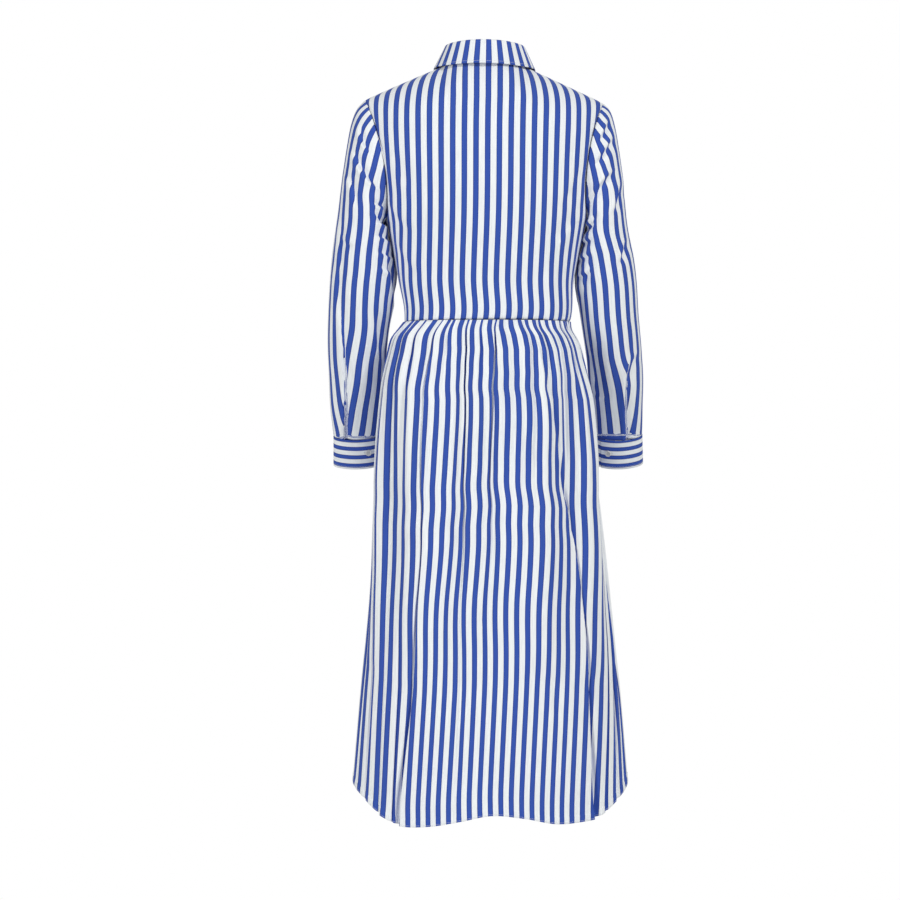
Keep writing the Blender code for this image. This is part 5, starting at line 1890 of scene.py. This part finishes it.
RIGHT_SLEEVE_CREASES = table(
    Crease,
    (-0.195, -0.078, -0.172, -0.121, 0.005, -0.004, 0.008, -0.003, 0.0),
    (-0.203, -0.106, -0.165, -0.158, 0.0055, -0.0048, 0.01, -0.003, 0.0),
    (-0.207, -0.16, -0.156, -0.223, 0.006, -0.005, 0.01, 0.004, 0.0),
    (-0.212, -0.18, -0.198, -0.235, 0.0055, -0.0036, 0.007, -0.003, 0.0),
    (-0.172, -0.226, -0.152, -0.262, 0.0045, -0.0036, 0.006, -0.002, 0.0),
    (-0.17, -0.246, -0.144, -0.254, 0.0055, -0.0032, 0.002, 0.0, 0.0),
    (-0.17, -0.27, -0.142, -0.28, 0.0055, -0.0032, 0.002, 0.0, 0.0),
    (-0.168, -0.296, -0.141, -0.306, 0.0055, -0.003, 0.002, 0.001, 0.0),
    (-0.166, -0.324, -0.143, -0.332, 0.006, -0.0026, 0.002, 0.0, 0.0),
    (-0.22, -0.268, -0.208, -0.312, 0.0055, -0.0036, 0.007, -0.003, 0.0),
    (-0.168, -0.3, -0.15, -0.368, 0.0055, -0.0026, 0.004, 0.003, 0.0),
    (-0.16, -0.43, -0.186, -0.52, 0.007, -0.0026, 0.006, 0.003, 0.0),
    (-0.23, -0.452, -0.229, -0.578, 0.006, -0.0036, 0.016, 0.004, 1.0),
    (-0.246, -0.444, -0.226, -0.5, 0.006, -0.0026, 0.005, 0.003, 0.0),
    (-0.166, -0.508, -0.206, -0.524, 0.005, -0.0014, 0.002, 0.002, 0.0),
)


# The flat sleeves' widths and lengths, in metres.
SLEEVE_LEFT_FLAT, SLEEVE_RIGHT_FLAT = (0.37, 0.56), (0.35, 0.55)


class StripeShift(NamedTuple):
    """How far a sleeve's stripes lie outwards at a height: all of them, and over and above that
    those between the pleat at the cuff and the underarm, whose cloth the pleat takes up."""

    z: float
    whole: float
    by_pleat: float


LEFT_STRIPES = table(
    StripeShift,
    (-0.6, -0.003, 0.054), (-0.574, -0.003, 0.042), (-0.527, -0.002, 0.022),
    (-0.48, -0.0025, 0.009), (-0.433, -0.003, 0.0), (-0.34, -0.0065, 0.0), (-0.277, -0.0075, 0.0),
    (-0.215, -0.004, 0.0), (-0.168, 0.0, 0.0), (-0.04, 0.0, 0.0),
)
RIGHT_STRIPES = table(
    StripeShift,
    (-0.6, 0.0045, 0.034), (-0.574, 0.0045, 0.0275), (-0.527, 0.0045, 0.0145),
    (-0.48, 0.0045, 0.0055), (-0.44, 0.0045, 0.0), (-0.371, 0.0, 0.0), (-0.34, -0.001, 0.0),
    (-0.277, -0.0035, 0.0), (-0.215, -0.0045, 0.0), (-0.168, 0.0, 0.0), (-0.04, 0.0, 0.0),
)


@dataclass
class Sleeve:
    """A set-in sleeve and its buttoned cuff."""

    name: str
    side: Side
    rings: Sequence[SleeveRing]
    creases: Sequence[Crease]
    stripes: Sequence[StripeShift]
    flat_sleeve: tuple[float, float]
    form: BodyForm
    cotton: bpy.types.Material
    cuff_cotton: bpy.types.Material
    thread: bpy.types.Material
    cuff_height: float = 0.049
    cuff_ease: float = 0.0004
    end_angle: float = math.radians(136.0)
    lap_angle: float = math.radians(36.0)
    button_angle: float = math.radians(116.0)
    cloth_thickness: float = 0.0006
    rows: int = 214
    columns: int = 190
    closer_above: float = 0.25
    levels: int = 260
    pleat_edge: float = 0.0016
    length: float = 0.55
    end_dip: float = 0.0008
    end_dip_width: float = 0.003
    inner_fullness: float = 0.0036
    fullest_z: float = -0.282
    fullness_reach: float = 0.050
    front_creases_lower: tuple[float, float] = (0.016, 0.010)
    front_creases_hide: float = 0.7
    beside_bodice: tuple[float, float] = (-0.345, -0.225)
    bodice_beyond: float = 0.10
    sleeve_within: float = 0.180
    clearance: float = 0.0006
    cuff_wall: float = 0.0012
    cuff_columns: int = 150
    cuff_rows: int = 17
    cuff_line_rows: tuple[float, float] = (1.4, 14.6)
    lap_rise: float = 0.9
    button_down: float = 0.45
    flat_cuff: tuple[float, float] = (0.25, 0.049)
    shaped_share: float = 0.72
    grids: dict[str, ClothGrid] = field(default_factory=dict)
    frames: list[Array] = field(default_factory=list)

    def ring_frames(self, at: Array) -> list[Array]:
        """Give rings' middles, outer and back directions, half widths and half depths.

        Args:
            at: the rings' places, 0 at the armhole and one more at each row of the table.

        Returns:
            The five arrays.
        """
        ends = posed(self.form.armhole(self.side.value, np.array([0.0, math.pi]), 1.0))
        first = SleeveRing(ends[0, 0], ends[0, 2], ends[1, 0], ends[1, 2],
                           self.form.armhole_half_depth, 0.0)
        rows = [first, *self.rings]
        knots = np.arange(len(rows), dtype=float)
        outer_x, outer_z, inner_x, inner_z, half_depth, forward = [
            smooth_curve(at, knots, column) for column in columns_of(rows)]
        middle = np.stack([outer_x + inner_x, -2.0 * forward, outer_z + inner_z], axis=-1) / 2.0
        reach = np.stack([outer_x - inner_x, 0.0 * forward, outer_z - inner_z], axis=-1)
        along = unit(np.gradient(middle, axis=0))
        along[:, 1] *= np.clip(at - 3.0, 0.0, 1.0)
        aside = unit(reach)
        behind = np.cross(along, aside)
        behind = unit(behind * np.sign(behind[:, 1:2]))
        return [middle, aside, behind, 0.5 * np.linalg.norm(reach, axis=-1), half_depth]

    def ring_points(self, parts: Sequence[Array], angle: Array) -> Array:
        """Give points round rings at angles from their outermost points by way of the back.

        Args:
            parts: the arrays that ring_frames gives.
            angle: angles round the rings.

        Returns:
            The points.
        """
        middle, aside, behind, half_width, half_depth = parts
        return (middle + aside * (half_width * np.cos(angle))[..., None]
                + behind * (half_depth * np.sin(angle))[..., None])

    def clear_of_bodice(self, grid: ClothGrid, from_seam: Array, bodice: Bodice) -> None:
        """Move the sleeve's inner side out until it is just clear of the bodice beside it.

        Args:
            grid: the sleeve.
            from_seam: each point's distance from the sleeve's ends.
            bodice: the bodice, built before.
        """
        low, high = self.beside_bodice
        front = "bodice_front_left" if self.side is Side.LEFT else "bodice_front_right"
        panels = [bodice.grids[name] for name in ("bodice_back", front)]
        surface = np.concatenate([panel.points.reshape(-1, 3) for panel in panels])
        normals = np.concatenate([panel.normals().reshape(-1, 3) for panel in panels])
        beside = ((surface[:, 2] > low) & (surface[:, 2] < high)
                  & (self.side.value * surface[:, 0] > self.bodice_beyond))
        near = ((grid.points[..., 2] > low) & (grid.points[..., 2] < high)
                & (self.side.value * grid.points[..., 0] < self.sleeve_within))
        fade = ease(from_seam[near] / self.end_dip_width)[:, None]
        for _ in range(3):
            grid.points[near] += fade * lifted_clear(grid.points[near], surface[beside],
                                                     normals[beside], self.clearance)

    def build(self, bodice: Bodice) -> None:
        """Build the sleeve and the cuff beside the bodice.

        Args:
            bodice: the bodice, built before.
        """
        share = np.linspace(0.0, 1.0, self.rows)
        at = len(self.rings) * share * (1.0 - self.closer_above * (1.0 - share))
        self.frames = self.ring_frames(at)
        turn = np.linspace(0.0, 2.0 * math.pi, self.columns, endpoint=False)
        parts = [part[:, None] for part in self.frames]
        points = self.ring_points(parts, np.repeat(turn[None], self.rows, axis=0))
        seam = posed(self.form.armhole(self.side.value, turn, 1.0))
        seam[:, 0] += self.side.value * SEAM_GAP
        fade = np.clip(1.0 - at / 4.0, 0.0, 1.0)[:, None, None]
        points = points + (seam - points[0])[None] * fade
        middle = np.broadcast_to(self.frames[0][:, None], points.shape).copy()
        cloth = self.unrolled(points)
        grid = ClothGrid(points, cloth, middle, ring=True)
        inner = np.clip(-np.cos(turn), 0.0, 1.0)[None] ** 2
        by_body = np.exp(-(((points[..., 2] - self.fullest_z) / self.fullness_reach) ** 2))
        grid.raise_by(self.inner_fullness * inner * by_body)
        behind = ease(0.5 + 2.0 * np.sin(turn))[None] * np.ones((self.rows, 1))
        grid.crease(self.creases, behind)
        upper, lower = self.front_creases_lower
        mirrored = [c._replace(z0=c.z0 - upper, z1=c.z1 - lower,
                               taken_up=self.front_creases_hide * c.taken_up)
                    for c in self.creases if not c.open_end]
        grid.crease(mirrored, 1.0 - behind)
        ends = np.minimum(at / at[-1], 1.0 - at / at[-1])[:, None] * np.ones((1, self.columns))
        from_end = ends * self.length
        grid.raise_by(-self.end_dip * np.exp(-((from_end / self.end_dip_width) ** 2)))
        self.clear_of_bodice(grid, from_end, bodice)
        self.grids[self.name] = grid
        piece = grid.build(self.name + "_cloth", self.cloth_thickness, self.cotton)
        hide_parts(self.name)
        self.build_cuff()

    def unrolled(self, points: Array) -> Array:
        """Unroll the sleeve: across is the length of the level cut round it, 0 outermost.

        The cut at each height is followed both ways round from the outermost line, so stripes run
        beside that line and end at the armhole as they do on a flat sleeve's cap. The pleat above
        the cuff takes up the cloth behind it, so there the stripes run into it.

        Args:
            points: the sleeve's points, rows by columns.

        Returns:
            The flat coordinates, with one column more than the points.
        """
        levels = np.linspace(points[..., 2].min(), points[..., 2].max(), self.levels)
        falling = np.minimum.accumulate(points[..., 2], axis=0)
        cuts = np.stack([read_columns(levels, falling[::-1, j], points[::-1, j])
                         for j in range(self.columns)], axis=1)
        steps = np.linalg.norm(np.roll(cuts, -1, axis=1) - cuts, axis=-1)
        edge = cuts[:, 0]
        run = np.gradient(edge, axis=0)
        upright = np.abs(run[:, 2]) / np.maximum(np.linalg.norm(run[:, ::2], axis=-1), 1e-9)
        behind = running_length(steps, 1)
        before = running_length(steps[:, ::-1], 1)[:, ::-1]
        seam = self.columns // 2 + 2
        level = np.where(np.arange(self.columns + 1)[None] <= seam, behind, -before)
        level = level * upright[:, None]
        around = np.concatenate([points, points[:, :1]], axis=1)
        z = around[..., 2]
        across = np.stack([np.interp(z[:, j], levels, level[:, j])
                           for j in range(self.columns + 1)], axis=-1)
        pleat = next(c for c in self.creases if c.open_end)
        down = np.clip((z - pleat.z0) / (pleat.z1 - pleat.z0), 0.0, 1.0)
        line = pleat.x0 + (pleat.x1 - pleat.x0) * down + 4.0 * pleat.bow * down * (1.0 - down)
        beyond = ease(0.5 + self.side.value * (line - around[..., 0]) / self.pleat_edge)
        beyond = beyond * (np.arange(self.columns + 1)[None] <= seam)
        whole, by_pleat = curves(z, self.stripes)
        across += whole + beyond * by_pleat
        return np.stack([across, -z], axis=-1)

    def cuff_point(self, angle: Array, down: Array, extra: float) -> Array:
        """Give points of the cuff's outer face; it ends by lapping over its start.

        Args:
            angle: angles round the cuff, from its start to its end.
            down: shares down the cuff.
            extra: how far outside its face, in metres.

        Returns:
            The points.
        """
        last = [part[-1] for part in self.frames]
        pair = self.ring_frames(np.array([len(self.rings) - 1.0, float(len(self.rings))]))
        along = unit(pair[0][1] - pair[0][0])
        start = self.end_angle - self.lap_angle
        lapped = ease((angle - start - 2.0 * math.pi + self.lap_rise) / self.lap_rise)
        lift = self.cuff_ease + extra + lapped * (STIFF_CLOTH + SEAM_GAP)
        grown = [last[0], last[1], last[2], last[3] + lift, last[4] + lift]
        move = SEAM_GAP + (self.cuff_height - SEAM_GAP) * down
        return self.ring_points(grown, angle) + along * move[..., None]

    def build_cuff(self) -> None:
        """Build the cuff, its stripes running round, with a line of stitches along each edge."""
        start = self.end_angle - self.lap_angle
        turn = np.linspace(start, self.end_angle + 2.0 * math.pi, self.cuff_columns)
        angle, down = np.meshgrid(turn, np.linspace(0.0, 1.0, self.cuff_rows))
        points = self.cuff_point(angle, down, 0.0)
        round_it = running_length(np.linalg.norm(np.diff(points, axis=1), axis=-1), 1)
        cloth = np.stack([down * self.cuff_height, round_it], axis=-1)
        middle = np.broadcast_to(self.frames[0][-1], points.shape).copy()
        middle[..., 2] = points[..., 2]
        grid = ClothGrid(points, cloth, middle)
        node = self.name.replace("sleeve", "cuff")
        self.grids[node] = grid
        piece = grid.build(node + "_cloth", self.cuff_wall, self.cuff_cotton)
        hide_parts(node)
        lines = [stitch_line(f"{node}_line_{k}", *line_on(grid, row=row), self.thread)
                 for k, row in enumerate(self.cuff_line_rows)]
        stitches = join_pieces(node + "_stitches", lines)

    def button_seat(self) -> tuple[Array, Array]:
        """Give the cuff button's seat and facing.

        Returns:
            The seat's point and the facing as a unit vector.
        """
        angle = np.array([self.button_angle + 2.0 * math.pi])
        down = np.array([self.button_down])
        seat, away = (self.cuff_point(angle, down, extra)[0] for extra in (0.0, 0.004))
        return seat, unit(away - seat)


# ------------------------------------------------------------------ buttons


@dataclass
class Buttons:
    """Four-hole buttons, sewn on with two bars of thread, and their buttonholes."""

    plastic: bpy.types.Material
    thread: bpy.types.Material
    radius: float = 0.0052
    thickness: float = 0.0022
    hole_radius: float = 0.00062
    hole_place: float = 0.00135
    hole_half_length: float = 0.0072
    hole_half_width: float = 0.0011
    stitch_radius: float = 0.0006
    bar_radius: float = 0.00030
    bar_rings: int = 7
    bar_height_share: float = 0.70
    bar_bow: float = 0.0004
    bar_end_drop: float = 0.0006
    stitch_swells: tuple[float, float] = (1.0, 0.78)
    stitch_flatness: float = 0.45
    sides: int = 40
    hole_rings: int = 112

    def template(self) -> bpy.types.Mesh:
        """Make one button facing +Z: a turned profile with a raised rim and four holes cut.

        Returns:
            The button's mesh.
        """
        r, t = self.radius, self.thickness
        profile = np.array([(0.0, 0.0), (0.93 * r, 0.0), (r, 0.2 * t), (r, 0.72 * t),
                            (0.95 * r, 0.93 * t), (0.86 * r, t), (0.74 * r, 0.97 * t),
                            (0.64 * r, 0.78 * t), (0.56 * r, 0.70 * t), (0.0, 0.66 * t)])
        turn = np.linspace(0.0, 2.0 * math.pi, self.sides, endpoint=False)
        work = bmesh.new()
        rings = []
        for radius, height in profile:
            if radius == 0.0:
                rings.append([work.verts.new((0.0, 0.0, height))])
            else:
                rings.append([work.verts.new((radius * math.cos(a), radius * math.sin(a), height))
                              for a in turn])
        for low, high in zip(rings, rings[1:]):
            for k in range(self.sides):
                after = (k + 1) % self.sides
                corners = [low[k % len(low)], low[after % len(low)],
                           high[after % len(high)], high[k % len(high)]]
                work.faces.new(list(dict.fromkeys(corners)))
        bmesh.ops.recalc_face_normals(work, faces=work.faces)
        body = link("button", mesh_of(work, "button"))
        cutter = self.hole_cutter()
        cut = body.modifiers.new("holes", "BOOLEAN")
        cut.object = cutter
        cut.solver = "EXACT"
        depsgraph = bpy.context.evaluated_depsgraph_get()
        result = bpy.data.meshes.new_from_object(body.evaluated_get(depsgraph))
        bpy.data.objects.remove(body)
        bpy.data.objects.remove(cutter)
        return result

    def hole_cutter(self) -> bpy.types.Object:
        """Make the four pins that cut the thread holes.

        Returns:
            The pins as one object.
        """
        work = bmesh.new()
        for x in (-self.hole_place, self.hole_place):
            for y in (-self.hole_place, self.hole_place):
                made = bmesh.ops.create_cone(work, cap_ends=True, segments=10,
                                             radius1=self.hole_radius, radius2=self.hole_radius,
                                             depth=3.0 * self.thickness)
                bmesh.ops.translate(work, verts=made["verts"], vec=(x, y, self.thickness))
        return link("button_holes", mesh_of(work, "button_holes"))

    def axes(self, facing: Array) -> Array:
        """Give a turn whose columns are the button's X, Y and Z in space.

        Args:
            facing: the way the button faces.

        Returns:
            The turn, as a 3 by 3 array.
        """
        helper = np.array([0.0, 0.0, 1.0]) if abs(facing[2]) < 0.9 else np.array([1.0, 0.0, 0.0])
        side = unit(np.cross(helper, facing))
        return np.stack([side, np.cross(facing, side), facing], axis=-1)

    def bars(self) -> tuple[Array, Array]:
        """Give the points and corner indices of two thread bars that cross the button's middle.

        Returns:
            Points with the button's seat at 0 facing +Z, and the corner indices of the faces.
        """
        span = np.linspace(-1.0, 1.0, self.bar_rings)
        lift = self.bar_height_share * self.thickness + self.bar_bow * (1.0 - span ** 4)
        lift = lift - self.bar_end_drop * span ** 6
        turn = np.arange(THREAD_SIDES) * math.pi / 3.0
        x = span * self.hole_place
        points = [np.stack([np.repeat(x[:, None], THREAD_SIDES, 1),
                            y + self.bar_radius * np.cos(turn)[None] + 0.0 * x[:, None],
                            lift[:, None] + self.bar_radius * np.sin(turn)[None]], axis=-1)
                  for y in (-self.hole_place, self.hole_place)]
        faces = tube_faces(len(span), THREAD_SIDES)
        loops = np.concatenate([faces, faces + THREAD_SIDES * len(span)])
        return np.concatenate(points).reshape(-1, 3), loops.reshape(-1)

    def hole_edge(self, bend: Optional[float]) -> tuple[Array, Array]:
        """Give the points and corner indices of a buttonhole's edge, a ring of satin stitches.

        Args:
            bend: the radius of the cloth that the hole runs round; None for an upright hole.

        Returns:
            Points with the button's middle at 0 facing +Z, and the corner indices of its faces.
        """
        count, sides = self.hole_rings, THREAD_SIDES
        turn = np.linspace(0.0, 2.0 * math.pi, count, endpoint=False)
        straight = self.hole_half_length - self.hole_half_width
        middle = np.stack([straight * np.tanh(6.0 * np.cos(turn)) +
                           self.hole_half_width * np.cos(turn),
                           self.hole_half_width * np.clip(2.5 * np.sin(turn), -1.0, 1.0)], axis=-1)
        ahead = unit(np.roll(middle, -1, axis=0) - np.roll(middle, 1, axis=0))
        aside = np.stack([ahead[:, 1], -ahead[:, 0]], axis=-1)
        swell = np.where(np.arange(count) % 2 == 0, *self.stitch_swells) * self.stitch_radius
        around = np.arange(sides) * 2.0 * math.pi / sides
        flat = middle[:, None] + aside[:, None] * (swell[:, None] * np.cos(around))[..., None]
        height = self.stitch_flatness * swell[:, None] * np.sin(around) - SEAM_GAP
        if bend is None:
            points = np.stack([-flat[..., 1], flat[..., 0], height], axis=-1)
        else:
            points = np.stack([flat[..., 0], flat[..., 1],
                               height - 0.5 * flat[..., 0] ** 2 / bend], axis=-1)
        return points.reshape(-1, 3), tube_faces(count, sides, closed=True).reshape(-1)

    def place(self, node: str, seat: Array, facing: Array, template: bpy.types.Mesh,
              bend: Optional[float] = None) -> None:
        """Put a button, its thread and its buttonhole where a CAD button is.

        Args:
            node: the CAD button that it stands for.
            seat: the point on the cloth below its middle.
            facing: the way it faces.
            template: one button facing +Z.
            bend: the radius of the cloth that its buttonhole runs round; None for an upright hole.
        """
        turn = self.axes(facing)
        origin = seat + facing * SEAM_GAP
        mesh = template.copy()
        points = np.empty(len(mesh.vertices) * 3)
        mesh.vertices.foreach_get("co", points)
        points = points.reshape(-1, 3) @ turn.T + origin
        mesh.vertices.foreach_set("co", points.reshape(-1).astype(np.float32))
        mesh.update()
        mesh.shade_smooth()
        button = link_piece(node + "_body", mesh, self.plastic)
        button.modifiers.new("edge", "WEIGHTED_NORMAL").keep_sharp = True
        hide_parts(node)
        for name, (points, loops) in (("_thread", self.bars()),
                                      ("_buttonhole", self.hole_edge(bend))):
            mesh = mesh_from_arrays(node + name, points @ turn.T + origin, loops, 4)
            turn_out(mesh)
            link_piece(node + name, mesh, self.thread)


@dataclass
class ButtonRow:
    """Where the dress's buttons are, and the making of them."""

    buttons: Buttons
    bodice_z: tuple[float, ...] = (-0.088, -0.160, -0.232, -0.304, -0.376)
    skirt_z: tuple[float, ...] = (-0.452, -0.542, -0.632, -0.722, -0.812, -0.902)
    throat_ups: tuple[float, float] = (0.4, 0.6)
    step_up: float = 0.004

    def facing_front(self, run: Array) -> Array:
        """Give the direction square to a line down the centre front that faces forward."""
        facing = unit(np.cross(run, np.array([-1.0, 0.0, 0.0])))
        return facing * -np.sign(facing[1])

    def seat_on_line(self, points: Array, z: float) -> tuple[Array, Array]:
        """Give the seat and the facing at a height on a line down the centre front.

        Args:
            points: the line's points, from the top down.
            z: the height.

        Returns:
            The seat's point and the facing as a unit vector.
        """
        rising = points[::-1]
        seat, ahead = read_columns(np.array([z, z + self.step_up]), rising[:, 2], rising)
        facing = self.facing_front(ahead - seat)
        return seat + facing * (CAD_CLOTH + SEAM_GAP), facing

    def build(self, bodice: Bodice, collar: Collar, skirt: Skirt, sleeves: Sequence[Sleeve]
              ) -> None:
        """Place every button on its seat.

        Args:
            bodice: the bodice, whose band carries the upper buttons.
            collar: the collar, whose stand carries one.
            skirt: the skirt, whose band carries the lower buttons.
            sleeves: the sleeves, whose cuffs carry one each.
        """
        template = self.buttons.template()
        down = np.linspace(0.0, 1.0, 60)
        line = posed(bodice.form.points(np.zeros_like(down), down, -1.0))
        rows = [skirt.row(share, -1.0, np.array([0.0]))[0] for share in down]
        for part, line, heights in (("bodice", line, self.bodice_z),
                                    ("skirt", posed(np.array(rows)), self.skirt_z)):
            for number, z in enumerate(heights, 1):
                self.buttons.place(f"button_{part}_{number}", *self.seat_on_line(line, z),
                                   template)
        throat = posed(collar.stand_point(np.full(2, -math.pi), np.array(self.throat_ups)))
        self.buttons.place("button_collar", throat.mean(axis=0),
                           self.facing_front(throat[1] - throat[0]), template,
                           collar.form.neck_half_width)
        for sleeve in sleeves:
            node = sleeve.name.replace("sleeve", "button_cuff")
            self.buttons.place(node, *sleeve.button_seat(), template, sleeve.rings[-1].half_depth)
        bpy.data.meshes.remove(template)


# ------------------------------------------------------------------ studio


@dataclass
class Studio:
    """A pale floor below the hanging dress, soft light and the camera behind the dress."""

    camera_place: tuple[float, float, float] = (0.0592, 4.0, -0.6048)
    lens: float = 100.0
    sensor_width: float = 36.0
    clip_end: float = 100.0
    sky_lights: float = 0.34
    floor_z: float = -1.62
    floor_half: float = 1.5
    floor_colour: str = "#E6E6E6"
    floor_roughness: float = 0.9
    lit_middle: tuple[float, float, float] = (0.0, 0.0, -0.5)
    lights: tuple[tuple, ...] = (
        ("key", (-2.0, 2.6, 1.9), 62.0, 0.7), ("fill", (2.6, 2.4, -0.1), 46.0, 1.4),
        ("low", (-1.6, 2.6, -1.4), 10.0, 1.2), ("front", (-0.8, -3.4, 1.2), 44.0, 2.0))

    def build(self) -> None:
        """Build the floor, the lights, the sky and the camera."""
        self.build_floor()
        for light in self.lights:
            self.add_light(*light)
        self.build_sky()
        camera = bpy.data.cameras.new("camera")
        camera.lens = self.lens
        camera.sensor_width = self.sensor_width
        camera.clip_end = self.clip_end
        thing = link("camera", camera)
        thing.location = self.camera_place
        thing.rotation_euler = (math.pi / 2.0, 0.0, math.pi)
        bpy.context.scene.camera = thing

    def build_floor(self) -> None:
        """Build a pale floor, wider than the dress is long."""
        half = self.floor_half
        points = np.array([(-half, -half, self.floor_z), (half, -half, self.floor_z),
                           (half, half, self.floor_z), (-half, half, self.floor_z)])
        mesh = mesh_from_arrays("floor", points, np.arange(4), 4)
        paint = new_material("pale_painted_floor", Base_Color=linear(self.floor_colour),
                             Roughness=self.floor_roughness)[0]
        mesh.materials.append(paint)
        floor = link("floor", mesh)

    def add_light(self, name: str, place: tuple[float, float, float], power: float, size: float
                  ) -> None:
        """Add a soft square light that faces the dress's middle.

        Args:
            name: the light's name.
            place: where it is.
            power: its power in watts.
            size: its width in metres.
        """
        lamp = bpy.data.lights.new(name, "AREA")
        lamp.energy = power
        lamp.size = size
        thing = link(name, lamp)
        thing.location = place
        away = np.array(place) - np.array(self.lit_middle)
        flat = math.hypot(away[0], away[1])
        thing.rotation_euler = (math.atan2(flat, away[2]), 0.0, math.atan2(away[0], -away[1]))

    def build_sky(self) -> None:
        """Build a white surround that is seen brighter than it lights."""
        world = bpy.data.worlds.new("white_surround")
        world.use_nodes = True
        tree = world.node_tree
        background = tree.nodes["Background"]
        seen = add_node(tree, "ShaderNodeLightPath").outputs["Is Camera Ray"]
        strength = add_node(tree, "ShaderNodeMapRange", {3: self.sky_lights, 4: 1.0},
                            {0: seen})
        background.inputs[0].default_value = (1.0, 1.0, 1.0, 1.0)
        tree.links.new(strength.outputs[0], background.inputs[1])
        bpy.context.scene.world = world
        bpy.context.scene.view_settings.view_transform = "Standard"


def main() -> None:
    """Build the dress in order and report each piece."""
    logging.basicConfig(level=logging.INFO, format="%(message)s")
    body_cotton = StripedPoplin("striped_cotton_poplin").material()
    sleeve_cotton = StripedPoplin("striped_cotton_poplin_sleeve", phase=0.1).material()
    cuff_cotton = StripedPoplin("striped_cotton_poplin_cuff", period=0.0142).material()
    thread = SewingThread().material()
    form = BodyForm()
    bodice = Bodice(form, body_cotton, thread)
    bodice.build()
    log.info("bodice: %s", ", ".join(bodice.grids))
    collar = Collar(form, body_cotton, thread)
    collar.build()
    log.info("collar: %s", ", ".join(collar.grids))
    skirt = Skirt(body_cotton, thread)
    skirt.build()
    log.info("skirt: %s", ", ".join(skirt.grids))
    sleeves = [
        Sleeve("sleeve_left", Side.LEFT, SLEEVE_LEFT, LEFT_SLEEVE_CREASES, LEFT_STRIPES,
               SLEEVE_LEFT_FLAT, form, sleeve_cotton, cuff_cotton, thread),
        Sleeve("sleeve_right", Side.RIGHT, SLEEVE_RIGHT, RIGHT_SLEEVE_CREASES, RIGHT_STRIPES,
               SLEEVE_RIGHT_FLAT, form, sleeve_cotton, cuff_cotton, thread),
    ]
    for sleeve in sleeves:
        sleeve.build(bodice)
        log.info("%s: %s", sleeve.name, ", ".join(sleeve.grids))
    ButtonRow(Buttons(MouldedButton().material(), thread)).build(bodice, collar, skirt, sleeves)
    log.info("buttons: placed")
    Studio().build()


if __name__ == "__main__":
    main()
